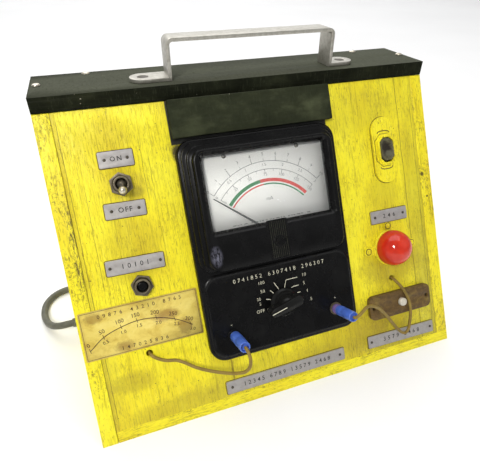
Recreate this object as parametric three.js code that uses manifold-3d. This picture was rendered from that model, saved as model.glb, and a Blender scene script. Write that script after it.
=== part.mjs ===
// Portable bench tester in a home-made wooden case: sloping front, black lid with a strap handle,
// large panel meter with its own selector and test jacks, toggle, rocker, lamp and push-button.
// Millimetres, +Z up, the sloping front faces -Y, the origin is the middle of the footprint.
import * as THREE from 'three';
import { mergeVertices } from 'three/addons/utils/BufferGeometryUtils.js';
import Module from 'manifold-3d';

const wasm = await Module();
wasm.setup();

// ---------------------------------------------------------------- driving dimensions
const caseWidth = 323.5;
const slopeLength = 250;
const lean = THREE.MathUtils.degToRad(29.4);
const topDepth = 57.5;
const sideBoard = 11.5;
const panelBoard = 9.5;
const backBoard = 9.5;
const baseBoard = 8;
const lidThickness = 11.3;
const slopeTopY = 38.3;
const gap = 0.3;
const lidScrewRadius = 1.6;
const lidScrewLength = 20;
const sheetTop = 1.8;

const caseHeight = slopeLength * Math.cos(lean);
const backY = slopeTopY + topDepth;
const lidTop = caseHeight + lidThickness;
const innerHalf = caseWidth / 2 - sideBoard - gap;

// meter: moulded case sunk through the front panel
const meterX = -1.7;
const meterWidth = 133.5;
const meterTop = 30.8;
const meterLength = 177;
const bezelLength = 104;
const meterCorner = 13;
const lowerFace = 5;
const bezelFace = 17;
const meterWall = 3;
const frontSkirt = 11.5;
const rearDepth = 54;
const windowWidth = 100;
const windowHeight = 57;
const windowMiddle = 74;
const pivotDown = 113;
const selectorDown = 171.5;
const jackDown = 188.4;
const jackSpread = 46;
const jackRadius = 4;
const jackBore = 2.3;
const plugRadius = 4.3;
const plugEnd = 34.4;
const bezelTopInset = 9.2;
const bezelSteps = [[2.6, 8.5], [5.8, 12], [bezelTopInset, bezelFace]];
const needleLength = 57;
const needleRest = THREE.MathUtils.degToRad(52);
const zeroScrewDown = 118.6;
const zeroScrewRadius = 3.2;
const knobBore = 3;
const selectorRest = THREE.MathUtils.degToRad(104);

// small controls, each as across and down from the middle of the slope's top edge
const toggleAt = { x: -111.5, down: 55.9 };
const reverseAt = { x: -110.6, down: 133 };
const rockerAt = { x: 115, down: 61.3 };
const lampAt = { x: 108.8, down: 148 };
const pushAt = { x: 112.4, down: 199.3 };
const pushPlateX = 111;
const leftLeadHole = { x: -114.8, down: 186.5 };
const rightLeadHole = { x: 107.6, down: 176.6 };
const leadRadius = 1.3;
const leadHoleRadius = 2.7;
const bushRadius = 5.9;
const bushBore = 4.4;
const bushTop = 7;
const nutTop = 3.6;
const leverPivot = 2.5;
const leverTilt = THREE.MathUtils.degToRad(23);
const rockerWidth = 12.8;
const rockerLength = 19.6;
const rockerChamfer = 3.6;
const rockerPivot = -1;
const rockerTilt = THREE.MathUtils.degToRad(5);
const lampHole = 13.5;
const lampFlange = 16.4;
const lampEarReach = 22.6;
const lampEars = [[-lampEarReach, 0, 3.8], [0, 19.6, 3.3], [lampEarReach, 0, 3.8]];
const pushHole = 5;
const pushRadius = 3.7;
const pushPlate = { width: 64.5, height: 21.8, top: 4.3, screwSpread: 28.2 };
const plateTop = 1.1;

// carrying handle
const handleLeft = -62.8;
const handleRight = 74.9;
const handleRise = 30;
const strapThickness = 2.6;
const strapWidth = 19.5;
const strapMiddleY = slopeTopY + 18.5;
const leftFoot = 28;
const rightFoot = 23;
const footHole = 10;
const footScrewHole = 2.3;
const footScrewDepth = 20;

// mains cord, its exit and its stored coil
const cordRadius = 3.25;
const exitY = slopeTopY + 1;
const exitHeight = 16;
const reliefReach = 16;
const reliefNeck = 4.6;
const coilX = -95;
const coilMiddleRadius = 35.75;
const coilColumns = 3;
const coilFloor = 0.8;
const coilHeight = 19.5;
const cordLineY = slopeTopY + 67;
const coilOuterRadius = coilMiddleRadius + coilColumns * cordRadius;
const coilY = cordLineY + coilOuterRadius - cordRadius;
const plugStartX = coilX + 60;
const plugY = backY + 17;
const plugHeight = 12.8;

// ---------------------------------------------------------------- finishes
const finish = (color, roughness, metalness = 0) => ({ color, roughness, metalness });
const yellowPaint = finish(0xe2cf1c, 0.55);
const blackPaint = finish(0x1d1f1c, 0.6);
const blackMoulding = finish(0x15171a, 0.35);
const aluminium = finish(0xc9c8bd, 0.4, 0.9);
const plateMetal = finish(0x9c979f, 0.45, 0.8);
const steel = finish(0xb4b0a4, 0.35, 0.9);
const darkSteel = finish(0x55524a, 0.5, 0.8);
const brownPhenolic = finish(0x6d5828, 0.5);
const paper = finish(0xd8ab3c, 0.85);
const dialWhite = finish(0xf2f2ee, 0.7);
const clearGlass = finish(0xdfe8ea, 0.05);
const redLens = finish(0xc83418, 0.12);
const blueVinyl = finish(0x3d6bb5, 0.4);
const tanInsulation = finish(0xb98a3a, 0.45);
const greyRubber = finish(0x4c4d44, 0.7);
const whitePlastic = finish(0xe9e4d6, 0.35);
const varnishedCopper = finish(0x8a4a22, 0.4, 0.4);
const laminations = finish(0x3a3a3c, 0.6, 0.6);

// ---------------------------------------------------------------- scene graph
const part = new THREE.Group();
const face = new THREE.Group();
// inside this group x runs across the slope, y up the slope and z straight out of it
face.position.set(0, slopeTopY, caseHeight);
face.rotation.x = Math.PI / 2 - lean;
part.add(face);

function addPiece(group, name, geometry, look) {
  const mesh = new THREE.Mesh(geometry, new THREE.MeshStandardMaterial(look));
  mesh.name = name;
  group.add(mesh);
  return mesh;
}

function addOnFace(name, geometry, look, at = { x: 0, down: 0 }, height = 0) {
  const mesh = addPiece(face, name, geometry, look);
  mesh.position.set(at.x, -at.down, height);
  return mesh;
}

// ---------------------------------------------------------------- joins and cuts
function toSolid(geometry) {
  const bare = geometry.clone();
  bare.deleteAttribute('normal');
  bare.deleteAttribute('uv');
  const merged = mergeVertices(bare, 1e-4);
  const vertProperties = new Float32Array(merged.attributes.position.array);
  const triVerts = new Uint32Array(merged.index.array);
  return new wasm.Manifold(new wasm.Mesh({ numProp: 3, vertProperties, triVerts }));
}

function toGeometry(solid) {
  const mesh = solid.getMesh();
  const geometry = new THREE.BufferGeometry();
  geometry.setAttribute('position', new THREE.BufferAttribute(new Float32Array(mesh.vertProperties), 3));
  geometry.setIndex(new THREE.BufferAttribute(new Uint32Array(mesh.triVerts), 1));
  return geometry;
}

const join = (...pieces) => toGeometry(pieces.map(toSolid).reduce((a, b) => a.add(b)));
const cut = (body, ...tools) => toGeometry(tools.map(toSolid).reduce((a, b) => a.subtract(b), toSolid(body)));
const common = (a, b) => toGeometry(toSolid(a).intersect(toSolid(b)));

// ---------------------------------------------------------------- basic shapes
// block from its lowest to its highest corner
function block(x0, y0, z0, x1, y1, z1) {
  const geometry = new THREE.BoxGeometry(x1 - x0, y1 - y0, z1 - z0);
  return geometry.translate((x0 + x1) / 2, (y0 + y1) / 2, (z0 + z1) / 2);
}

// upright cylinder between two heights
function rod(radius, z0, z1, sides = 20) {
  return new THREE.CylinderGeometry(radius, radius, z1 - z0, sides).rotateX(Math.PI / 2)
    .translate(0, 0, (z0 + z1) / 2);
}

// turned piece: its outline is [radius, height] pairs and starts and ends on the axis, or closes
function turned(outline, sides = 20) {
  const points = outline.map(([radius, height]) => new THREE.Vector2(radius, height));
  return new THREE.LatheGeometry(points, sides).rotateX(Math.PI / 2);
}

// turned ring with an open bore
function turnedRing(outline, sides = 20) {
  return turned([...outline, outline[0]], sides);
}

function roundedOutline(width, height, corner) {
  const shape = new THREE.Shape();
  const x = width / 2;
  const y = height / 2;
  const quarter = Math.PI / 2;
  shape.absarc(x - corner, y - corner, corner, 0, quarter);
  shape.absarc(-x + corner, y - corner, corner, quarter, 2 * quarter);
  shape.absarc(-x + corner, -y + corner, corner, 2 * quarter, 3 * quarter);
  shape.absarc(x - corner, -y + corner, corner, 3 * quarter, 4 * quarter);
  shape.closePath();
  return shape;
}

// slab with rounded corners between two heights
function slab(width, height, corner, z0, z1, curveSegments = 2) {
  const shape = roundedOutline(width, height, corner);
  return new THREE.ExtrudeGeometry(shape, { depth: z1 - z0, bevelEnabled: false, curveSegments })
    .translate(0, 0, z0);
}

// straight prism across the case from a side-view outline of [y, z] points
function prismAcross(outline, x0, x1) {
  const shape = new THREE.Shape(outline.map(([y, z]) => new THREE.Vector2(y, z)));
  const turn = new THREE.Matrix4().makeBasis(
    new THREE.Vector3(0, 1, 0), new THREE.Vector3(0, 0, 1), new THREE.Vector3(1, 0, 0));
  return new THREE.ExtrudeGeometry(shape, { depth: x1 - x0, bevelEnabled: false })
    .applyMatrix4(turn)
    .translate(x0, 0, 0);
}

// tube along a smooth line through the given points
function tube(points, radius, sides, steps) {
  const ring = new THREE.Shape();
  for (let i = 0; i < sides; i += 1) {
    const angle = (i / sides) * 2 * Math.PI;
    const x = radius * Math.cos(angle);
    const y = radius * Math.sin(angle);
    if (i === 0) ring.moveTo(x, y);
    else ring.lineTo(x, y);
  }
  ring.closePath();
  const extrudePath = new THREE.CatmullRomCurve3(points, false, 'centripetal');
  return new THREE.ExtrudeGeometry(ring, { steps, extrudePath, bevelEnabled: false, curveSegments: 1 });
}

function hexagon(acrossFlats, z0, z1) {
  return rod(acrossFlats / Math.sqrt(3), z0, z1, 6);
}

// wood screw: domed head above z = 0, shank below
function screwShape(headRadius, headHeight, shankRadius, shankLength) {
  return turned([
    [0, -shankLength], [shankRadius, -shankLength + shankRadius], [shankRadius, 0],
    [headRadius, 0], [headRadius * 0.8, headHeight * 0.7], [0, headHeight],
  ], 12);
}

// ---------------------------------------------------------------- wooden case
const sideScrewX = caseWidth / 2 - sideBoard / 2 + 0.6;
const lidScrews = [
  { name: 'lid_screw_left', x: -sideScrewX, y: slopeTopY + 29 },
  { name: 'lid_screw_right', x: sideScrewX, y: slopeTopY + 28 },
];
const lidScrewHoles = lidScrews.map(({ x, y }) => (
  rod(lidScrewRadius + gap, lidTop - lidScrewLength - 1, lidTop + 1, 12).translate(x, y, 0)));

// front edge of the case at a height
const slopeYAt = (z) => slopeTopY - (caseHeight - z) * Math.tan(lean);

function buildCase() {
  const boardTop = caseHeight - gap;
  const sideOutline = (floor) => [
    [slopeYAt(floor), floor], [backY, floor], [backY, boardTop], [slopeYAt(boardTop), boardTop]];
  const reliefHole = rod(reliefNeck + gap, -1, sideBoard + 1).rotateY(Math.PI / 2)
    .translate(-caseWidth / 2, exitY, exitHeight);
  const left = prismAcross(sideOutline(0), -caseWidth / 2, -caseWidth / 2 + sideBoard);
  addPiece(part, 'left_side_board', cut(left, reliefHole, lidScrewHoles[0]), yellowPaint);
  const right = prismAcross(sideOutline(baseBoard + gap), caseWidth / 2 - sideBoard, caseWidth / 2);
  addPiece(part, 'right_side_board', cut(right, lidScrewHoles[1]), yellowPaint);
  const base = prismAcross(
    [[slopeYAt(0), 0], [backY, 0], [backY, baseBoard], [slopeYAt(baseBoard), baseBoard]],
    -innerHalf, caseWidth / 2);
  addPiece(part, 'bottom_board', base, yellowPaint);
  const back = block(-innerHalf, backY - backBoard, baseBoard + gap, innerHalf, backY, boardTop);
  addPiece(part, 'back_panel', back, yellowPaint);
  const lid = block(-caseWidth / 2, slopeTopY, caseHeight, caseWidth / 2, backY, lidTop);
  addPiece(part, 'lid', cut(lid, ...lidScrewHoles, ...footScrewHoles()), blackPaint);
  lidScrews.forEach(({ name, x, y }) => {
    const screw = screwShape(3.1, 1.5, lidScrewRadius, lidScrewLength);
    addPiece(part, name, screw.translate(x, y, lidTop + gap), steel);
  });
}

// ---------------------------------------------------------------- sloping front panel
// distance down the slope at which a line parallel to the front, depth behind it, reaches height z
const downAt = (z, depth) => (caseHeight - z - depth * Math.sin(lean)) / Math.cos(lean);

function buildFrontPanel() {
  const top = caseHeight - gap;
  const foot = baseBoard + gap;
  const outline = [
    [-downAt(foot, 0), 0], [-downAt(foot, panelBoard), -panelBoard],
    [-downAt(top, panelBoard), -panelBoard], [-downAt(top, 0), 0]];
  const board = prismAcross(outline.reverse(), -innerHalf, innerHalf);
  const through = (geometry, at) => geometry.translate(at.x, -at.down, 0);
  const deep = [-panelBoard - 2, 2];
  const meterMiddle = { x: meterX, down: meterTop + meterLength / 2 };
  const openings = [
    through(slab(meterWidth + 2 * gap, meterLength + 2 * gap, meterCorner, ...deep), meterMiddle),
    through(rod(bushRadius + gap, ...deep), toggleAt),
    through(rod(bushRadius + gap, ...deep), reverseAt),
    through(slab(rockerWidth + 3, rockerLength + 4, 2, ...deep), rockerAt),
    through(rod(lampHole, ...deep), lampAt),
    through(rod(pushHole, ...deep), pushAt),
    through(rod(leadHoleRadius, ...deep, 16), leftLeadHole),
    through(rod(leadHoleRadius, ...deep, 16), rightLeadHole),
  ];
  addOnFace('front_panel', cut(board, ...openings), yellowPaint);
  const blockWidth = 134.1;
  const blockLength = 28.3;
  const strip = slab(blockWidth, blockLength, 0.6, gap, 6, 1);
  addOnFace('meter_top_block', strip, blackPaint, { x: meterX, down: 0.5 + blockLength / 2 });
}

// ---------------------------------------------------------------- carrying handle
function footScrewHoles() {
  return handleScrewPlaces().map((x) => (
    rod(footScrewHole, lidTop - footScrewDepth, lidTop + 1, 12).translate(x, strapMiddleY, 0)));
}

function handleScrewPlaces() {
  return [handleLeft - leftFoot + footHole, handleRight + rightFoot - footHole];
}

function buildHandle() {
  const base = lidTop + gap;
  const top = lidTop + handleRise;
  const bend = 5;
  const profile = new THREE.Shape();
  profile.moveTo(handleLeft - leftFoot, base);
  profile.lineTo(handleLeft + strapThickness, base);
  profile.lineTo(handleLeft + strapThickness, top - bend);
  profile.absarc(handleLeft + bend, top - bend, bend - strapThickness, Math.PI, Math.PI / 2, true);
  profile.lineTo(handleRight - bend, top - strapThickness);
  profile.absarc(handleRight - bend, top - bend, bend - strapThickness, Math.PI / 2, 0, true);
  profile.lineTo(handleRight - strapThickness, base);
  profile.lineTo(handleRight + rightFoot, base);
  profile.lineTo(handleRight + rightFoot, base + strapThickness);
  profile.lineTo(handleRight, base + strapThickness);
  profile.lineTo(handleRight, top - bend);
  profile.absarc(handleRight - bend, top - bend, bend, 0, Math.PI / 2, false);
  profile.lineTo(handleLeft + bend, top);
  profile.absarc(handleLeft + bend, top - bend, bend, Math.PI / 2, Math.PI, false);
  profile.lineTo(handleLeft, base + strapThickness);
  profile.lineTo(handleLeft - leftFoot, base + strapThickness);
  profile.closePath();
  const strap = new THREE.ExtrudeGeometry(
    profile, { depth: strapWidth, bevelEnabled: false, curveSegments: 3 })
    .rotateX(Math.PI / 2)
    .translate(0, strapMiddleY + strapWidth / 2, 0);
  const length = handleRight + rightFoot - handleLeft + leftFoot;
  const plan = slab(length, strapWidth, strapWidth / 2, lidTop - 1, top + 1, 4)
    .translate(handleLeft - leftFoot + length / 2, strapMiddleY, 0);
  const sink = turned([[0, -1], [2.6, -1], [2.6, 0.3], [4.7, strapThickness], [4.7, 4], [0, 4]], 16);
  const sinks = handleScrewPlaces().map((x) => sink.clone().translate(x, strapMiddleY, base));
  addPiece(part, 'carry_handle', cut(common(strap, plan), ...sinks), aluminium);
  const headTop = strapThickness - 0.2;
  const screw = turned([[0, -15], [2, -13], [2, 0.3], [4.3, headTop], [0, headTop]], 12);
  ['left', 'right'].forEach((side, i) => {
    const place = handleScrewPlaces()[i];
    const placed = screw.clone().translate(place, strapMiddleY, base);
    addPiece(part, `handle_screw_${side}`, placed, darkSteel);
  });
}

// ---------------------------------------------------------------- meter
// insets shrink the bezel's ends more than its sides, and move its middle up the slope
const endShrink = 1.2;
const endShift = 0.4;

function meterFrontShape() {
  const middle = -(meterTop + meterLength / 2);
  const bezelMiddle = -(meterTop + bezelLength / 2);
  const body = slab(meterWidth, meterLength, meterCorner, -frontSkirt, lowerFace)
    .translate(0, middle, 0);
  const ridges = bezelSteps.map(([inset, top]) => (
    slab(meterWidth - 2 * inset, bezelLength - endShrink * inset, meterCorner - inset / 2, 0, top)
      .translate(0, bezelMiddle - endShift * inset, 0)));
  const ribs = slab(15.5, 30, 2, bezelFace - 1, bezelFace + 1.2).translate(0, -117, 0);
  const inside = slab(meterWidth - 2 * meterWall, meterLength - 2 * meterWall, meterCorner - meterWall,
    -frontSkirt - 1, lowerFace - meterWall).translate(0, middle, 0);
  const inner = bezelTopInset + meterWall;
  const upper = slab(meterWidth - 2 * inner, bezelLength - endShrink * inner, 4, lowerFace - meterWall - 1,
    bezelFace - meterWall).translate(0, bezelMiddle - endShift * inner, 0);
  const glass = slab(windowWidth, windowHeight, 2, 0, bezelFace + 2).translate(0, -windowMiddle, 0);
  const through = [-frontSkirt, bezelFace + 4];
  const zeroHole = rod(zeroScrewRadius + gap, ...through).translate(0, -zeroScrewDown, 0);
  const knobHole = rod(knobBore + gap, ...through).translate(0, -selectorDown, 0);
  const jackHoles = [-jackSpread, jackSpread].map((x) => (
    rod(jackRadius + gap, ...through).translate(x, -jackDown, 0)));
  return cut(join(body, ...ridges, ribs), inside, upper, glass, zeroHole, knobHole, ...jackHoles);
}

function buildMeter() {
  const at = { x: meterX, down: 0 };
  addOnFace('meter_front', meterFrontShape(), blackMoulding, at);
  const middle = { x: meterX, down: meterTop + meterLength / 2 };
  const rear = cut(
    slab(meterWidth - 2, meterLength - 2, meterCorner - 1, -rearDepth, -frontSkirt - gap),
    slab(meterWidth - 2 - 2 * meterWall, meterLength - 2 - 2 * meterWall, meterCorner - 4,
      -rearDepth + meterWall, 0));
  addOnFace('meter_rear_case', rear, blackMoulding, middle);
  const pane = slab(windowWidth - 2 * gap, windowHeight - 2 * gap, 2, 12.2, 13.8);
  addOnFace('meter_window', pane, clearGlass, { x: meterX, down: windowMiddle });
  const dial = slab(windowWidth + 4, windowHeight + 4, 1, 6.4, 7.2);
  addOnFace('meter_dial', dial, dialWhite, { x: meterX, down: windowMiddle });
  buildMovement();
  buildSelector();
  buildJacks();
}

function buildMovement() {
  const magnet = cut(
    slab(44, 34, 5, -16, 6), rod(11, -17, 7, 20), block(-6, -22, -17, 6, 0, 7));
  addOnFace('meter_magnet', magnet, darkSteel, { x: meterX, down: pivotDown });
  const coil = join(rod(3.2, -15, 8.1, 16), block(-8, -7, -12, 8, 7, 4));
  const pointer = new THREE.Shape([
    new THREE.Vector2(-1.1, 0), new THREE.Vector2(1.1, 0), new THREE.Vector2(0.35, needleLength),
    new THREE.Vector2(-0.35, needleLength)]);
  const blade = new THREE.ExtrudeGeometry(pointer, { depth: 0.6, bevelEnabled: false })
    .translate(0, 0, 8.4);
  const tail = block(-2, -9, 7.9, 2, 1, 9);
  const needle = addOnFace('meter_needle', join(coil, blade, tail), blackMoulding,
    { x: meterX, down: pivotDown });
  needle.rotation.z = needleRest;
  const slot = block(-4, -0.5, bezelFace + 0.8, 4, 0.5, 30);
  const screw = cut(rod(zeroScrewRadius, 11, bezelFace + 1.6, 20), slot);
  const zero = addOnFace('zero_adjust_screw', screw, blackMoulding, { x: meterX, down: zeroScrewDown });
  zero.rotation.z = THREE.MathUtils.degToRad(30);
}

function buildSelector() {
  const at = { x: meterX, down: selectorDown };
  const skirt = turned([[0, lowerFace + gap], [12, lowerFace + gap], [12, 7.5], [10, 9.5], [0, 9.5]], 28);
  const bar = slab(9, 30, 4.4, 9, 19.5).translate(0, 2, 0);
  const shaft = rod(knobBore, -4, lowerFace + 1, 20);
  const knob = addOnFace('selector_knob', join(skirt, bar, shaft), blackMoulding, at);
  knob.rotation.z = selectorRest;
  const wafer = cut(
    join(rod(19, -16, -9), rod(5, -20, -3)), rod(knobBore + gap, -5, 0, 20));
  addOnFace('selector_switch', wafer, brownPhenolic, at);
}

function buildJacks() {
  ['left', 'right'].forEach((side, i) => {
    const at = { x: meterX + (i === 0 ? -jackSpread : jackSpread), down: jackDown };
    const flange = lowerFace + gap;
    addOnFace(`jack_${side}`, turnedRing([
      [jackBore, -9], [jackRadius, -9], [jackRadius, flange], [5.4, flange], [5.4, 6.8],
      [jackBore, 6.8]]), blackMoulding, at);
    addOnFace(`test_plug_${side}`, turned([
      [0, -7], [1.9, -6], [1.9, 7.1], [plugRadius - 0.5, 7.1], [plugRadius, 8], [plugRadius, 22],
      [plugRadius - 0.5, plugEnd], [0, plugEnd]]), blueVinyl, at);
  });
}

// ---------------------------------------------------------------- test leads
// points are across, down the slope and out from it
function leadPoints(list) {
  return list.map(([x, down, out]) => new THREE.Vector3(x, -down, out));
}

function buildLeads() {
  const leftPlugX = meterX - jackSpread;
  const left = leadPoints([
    [leftPlugX, jackDown, 34.8], [leftPlugX, jackDown, 36.6], [leftPlugX + 0.3, jackDown + 1.6, 39.4],
    [-46.9, 194.4, 41.0],
    [-47.6, 201.2, 39.2], [-50.6, 206.4, 34.5], [-56, 208.6, 28.6], [-64.8, 208.3, 22],
    [-74.6, 206.2, 15.8], [-83.4, 203, 10.6], [-90.3, 198.8, 6.8], [-96.4, 196, 4.2],
    [-103.6, 194.6, 3], [-110, 191.2, 2.6], [-113.8, 188, 1.4], [-114.8, 186.6, -3],
    [-114.8, 186.5, -12]]);
  addPiece(face, 'test_lead_left', tube(left, leadRadius, 8, 36), tanInsulation);
  const rightPlugX = meterX + jackSpread;
  const right = leadPoints([
    [rightPlugX, jackDown, 34.8], [rightPlugX, jackDown, 36.4], [rightPlugX + 2, jackDown - 1.4, 38.4],
    [50.4, 184.6, 38.2],
    [58.2, 183.2, 34.2], [70.6, 188.6, 27.4], [82, 198.6, 20.4], [92.4, 210.6, 13.4],
    [101.8, 221.4, 7.6], [108.6, 228, 4.6], [113, 229.6, 3.6], [116.6, 226.6, 3.6],
    [118, 220.4, 4.4], [118.7, 212, 6.2], [118.8, 203.8, 6.6], [117.2, 195.2, 6.4],
    [113.8, 187.4, 6], [110.6, 181.4, 3.8], [108.3, 177.6, 1], [107.6, 176.6, -4], [107.6, 176.6, -12]]);
  addPiece(face, 'test_lead_right', tube(right, leadRadius, 8, 42), tanInsulation);
}

// ---------------------------------------------------------------- toggle and reversing switches
function switchBody(width, length, depth) {
  const body = slab(width, length, 1, -panelBoard - gap - depth, -panelBoard - gap);
  return cut(join(body, rod(bushRadius, -panelBoard - 1, bushTop)), rod(bushBore, -4, bushTop + 1));
}

function buildToggle() {
  addOnFace('toggle_switch', switchBody(16, 28, 20), steel, toggleAt);
  const nut = cut(hexagon(15.5, gap, nutTop), rod(bushRadius + gap, -1, 5));
  const nutMesh = addOnFace('toggle_nut', nut, steel, toggleAt);
  nutMesh.rotation.z = THREE.MathUtils.degToRad(4);
  const lever = addOnFace('toggle_lever', turned([
    [0, -3.2], [2.4, -2.4], [3.3, 0], [2.4, 2.4], [1.7, 3.4], [1.9, 6], [2.9, 11], [2.9, 12.6],
    [2, 14.2], [0, 14.8]]), steel, toggleAt, leverPivot);
  lever.rotation.x = leverTilt;
}

function buildReverse() {
  addOnFace('reverse_switch', switchBody(18, 24, 18), steel, reverseAt);
  const nut = cut(hexagon(15, gap, nutTop), rod(bushRadius + gap, -1, 5));
  const nutMesh = addOnFace('reverse_nut', nut, steel, reverseAt);
  nutMesh.rotation.z = THREE.MathUtils.degToRad(14);
  addOnFace('reverse_button', turned([
    [0, -0.6], [4, -0.6], [4, 4.6], [3.2, 5.6], [0, 5.8]]), blackMoulding, reverseAt);
}

// ---------------------------------------------------------------- rocker switch on its strap
// outline of an oblong with its four corners cut off
function octagon(width, length, chamfer) {
  const x = width / 2;
  const y = length / 2;
  return new THREE.Shape([
    [x, y - chamfer], [x - chamfer, y], [-x + chamfer, y], [-x, y - chamfer],
    [-x, -y + chamfer], [-x + chamfer, -y], [x - chamfer, -y], [x, -y + chamfer],
  ].map(([a, b]) => new THREE.Vector2(a, b)));
}

function octagonBlock(width, length, chamfer, z0, z1) {
  const shape = octagon(width, length, chamfer);
  return new THREE.ExtrudeGeometry(shape, { depth: z1 - z0, bevelEnabled: false }).translate(0, 0, z0);
}

function buildRocker() {
  const plate = slab(23.3, 57.4, 11.6, gap, sheetTop, 8);
  const collarSteps = [[5.8, 8, 3.2], [3.8, 5, 5]];
  const collar = collarSteps.map(([wider, longer, top]) => (
    octagonBlock(rockerWidth + wider, rockerLength + longer, rockerChamfer + wider / 3, gap, top)));
  const window = octagonBlock(rockerWidth + 0.8, rockerLength + 2, rockerChamfer, -1, 8);
  const screwHoles = [-24.5, 24.5].map((y) => rod(1.9, -1, 8, 12).translate(0, y, 0));
  addOnFace('rocker_strap', cut(join(plate, ...collar), window, ...screwHoles), yellowPaint, rockerAt);
  const top = 6.6;
  const body = octagonBlock(rockerWidth, rockerLength, rockerChamfer, -4, top);
  const dishRadius = 14;
  const dish = new THREE.SphereGeometry(dishRadius, 24, 16).scale(1, 1.55, 1).translate(0, 0, top + 12.9);
  const insert = addOnFace('rocker_paddle', cut(body, dish), blackMoulding, rockerAt, rockerPivot);
  insert.rotation.x = -rockerTilt;
  const box = slab(20, 30, 1.5, -panelBoard - gap - 20, -panelBoard - gap);
  addOnFace('rocker_switch', box, brownPhenolic, rockerAt);
}

// ---------------------------------------------------------------- indicator lamp
function buildLamp() {
  const ears = lampEars.map(([x, y, radius]) => rod(radius, gap, sheetTop, 16).translate(x, y, 0));
  const arm = block(-lampEarReach, -3.6, gap, lampEarReach, 3.6, sheetTop);
  const flange = turned([
    [0, gap], [lampFlange, gap], [lampFlange, sheetTop], [lampFlange - 0.8, 2.8], [0, 2.8]], 28);
  const ring = join(flange, arm, ...ears);
  const screwHoles = lampEars.map(([x, y]) => rod(1.5, -1, 4, 8).translate(x, y, 0));
  addOnFace('lamp_ring', cut(ring, rod(13.2, -1, 5, 28), ...screwHoles), yellowPaint, lampAt);
  const radius = 15.9;
  const middle = 5.9;
  const arc = (r, from, to, steps) => Array.from({ length: steps + 1 }, (_, i) => {
    const angle = from + ((to - from) * i) / steps;
    return [r * Math.cos(angle), middle + r * Math.sin(angle)];
  });
  const low = Math.asin((3.7 - middle) / radius);
  const crown = arc(radius, low, Math.PI / 2, 7);
  crown[crown.length - 1][0] = 0;
  const hollow = arc(radius - 2.2, Math.PI / 2, 0, 4);
  hollow[0][0] = 0;
  addOnFace('lamp_lens', turned([...hollow, [12.2, 0.6], [12.8, 0.6], [12.8, 3.7], ...crown], 24),
    redLens, lampAt);
  addOnFace('lamp_bulb', turned([
    [0, -12], [4.4, -11.5], [4.4, -1], [6.6, 3], [7, 6], [5.2, 10.6], [0, 12.6]]), clearGlass, lampAt);
  addOnFace('lamp_socket', cut(rod(11, -28, -3), rod(4.4 + gap, -14, 0)), brownPhenolic, lampAt);
}

// ---------------------------------------------------------------- push-button on its plate
function buildPush() {
  const offset = pushAt.x - pushPlateX;
  const { width, height, top, screwSpread } = pushPlate;
  const plate = slab(width, height, 5, gap, top);
  const holes = [
    rod(pushRadius + gap, -1, 6).translate(offset, 0, 0),
    ...[-screwSpread, screwSpread].map((x) => rod(1.9, -1, 6, 12).translate(x, 0, 0))];
  addOnFace('push_plate', cut(plate, ...holes), brownPhenolic, { x: pushPlateX, down: pushAt.down });
  addOnFace('push_button', turned([
    [0, -7.6], [2.2, -7.6], [2.2, -1.6], [pushRadius, -1.6], [pushRadius, 6.4],
    [pushRadius - 1, 7.4], [0, 7.6]]), whitePlastic, pushAt);
  const contacts = slab(32, 16, 1, -panelBoard - gap - 13, -panelBoard - gap);
  addOnFace('push_contacts', contacts, brownPhenolic, pushAt);
}

// ---------------------------------------------------------------- stamped plates and paper scale
const plates = [
  { name: 'plate_on', x: -111.8, down: 37.2, width: 25, height: 11.8, tilt: 0, inset: 4.3 },
  { name: 'plate_off', x: -112, down: 74.7, width: 29.8, height: 11.3, tilt: -1, inset: 5 },
  { name: 'plate_reverse', x: -112.4, down: 116.2, width: 43.2, height: 11.3, tilt: -1, inset: 3 },
  { name: 'plate_lamp', x: 111.8, down: 119.2, width: 37.2, height: 11, tilt: 0, inset: 4 },
  { name: 'plate_push', x: 110.1, down: 231.2, width: 70.8, height: 10.8, tilt: -1, inset: 3.4 },
  { name: 'plate_long', x: -5.4, down: 232.7, width: 109.5, height: 10.6, tilt: 0, inset: 4.6 },
];

function buildPlates() {
  plates.forEach(({ name, x, down, width, height, tilt, inset }) => {
    const pins = [-1, 1].map((s) => rod(1.2, -1, 3, 8).translate(s * (width / 2 - inset), 0, 0));
    const plate = cut(slab(width, height, 1, gap, plateTop, 1), ...pins);
    const mesh = addOnFace(name, plate, plateMetal, { x, down });
    mesh.rotation.z = THREE.MathUtils.degToRad(tilt);
  });
  addOnFace('paper_scale', slab(89.2, 37.3, 0.8, gap, 0.6, 1), paper, { x: -115.4, down: 162.7 });
}

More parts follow.
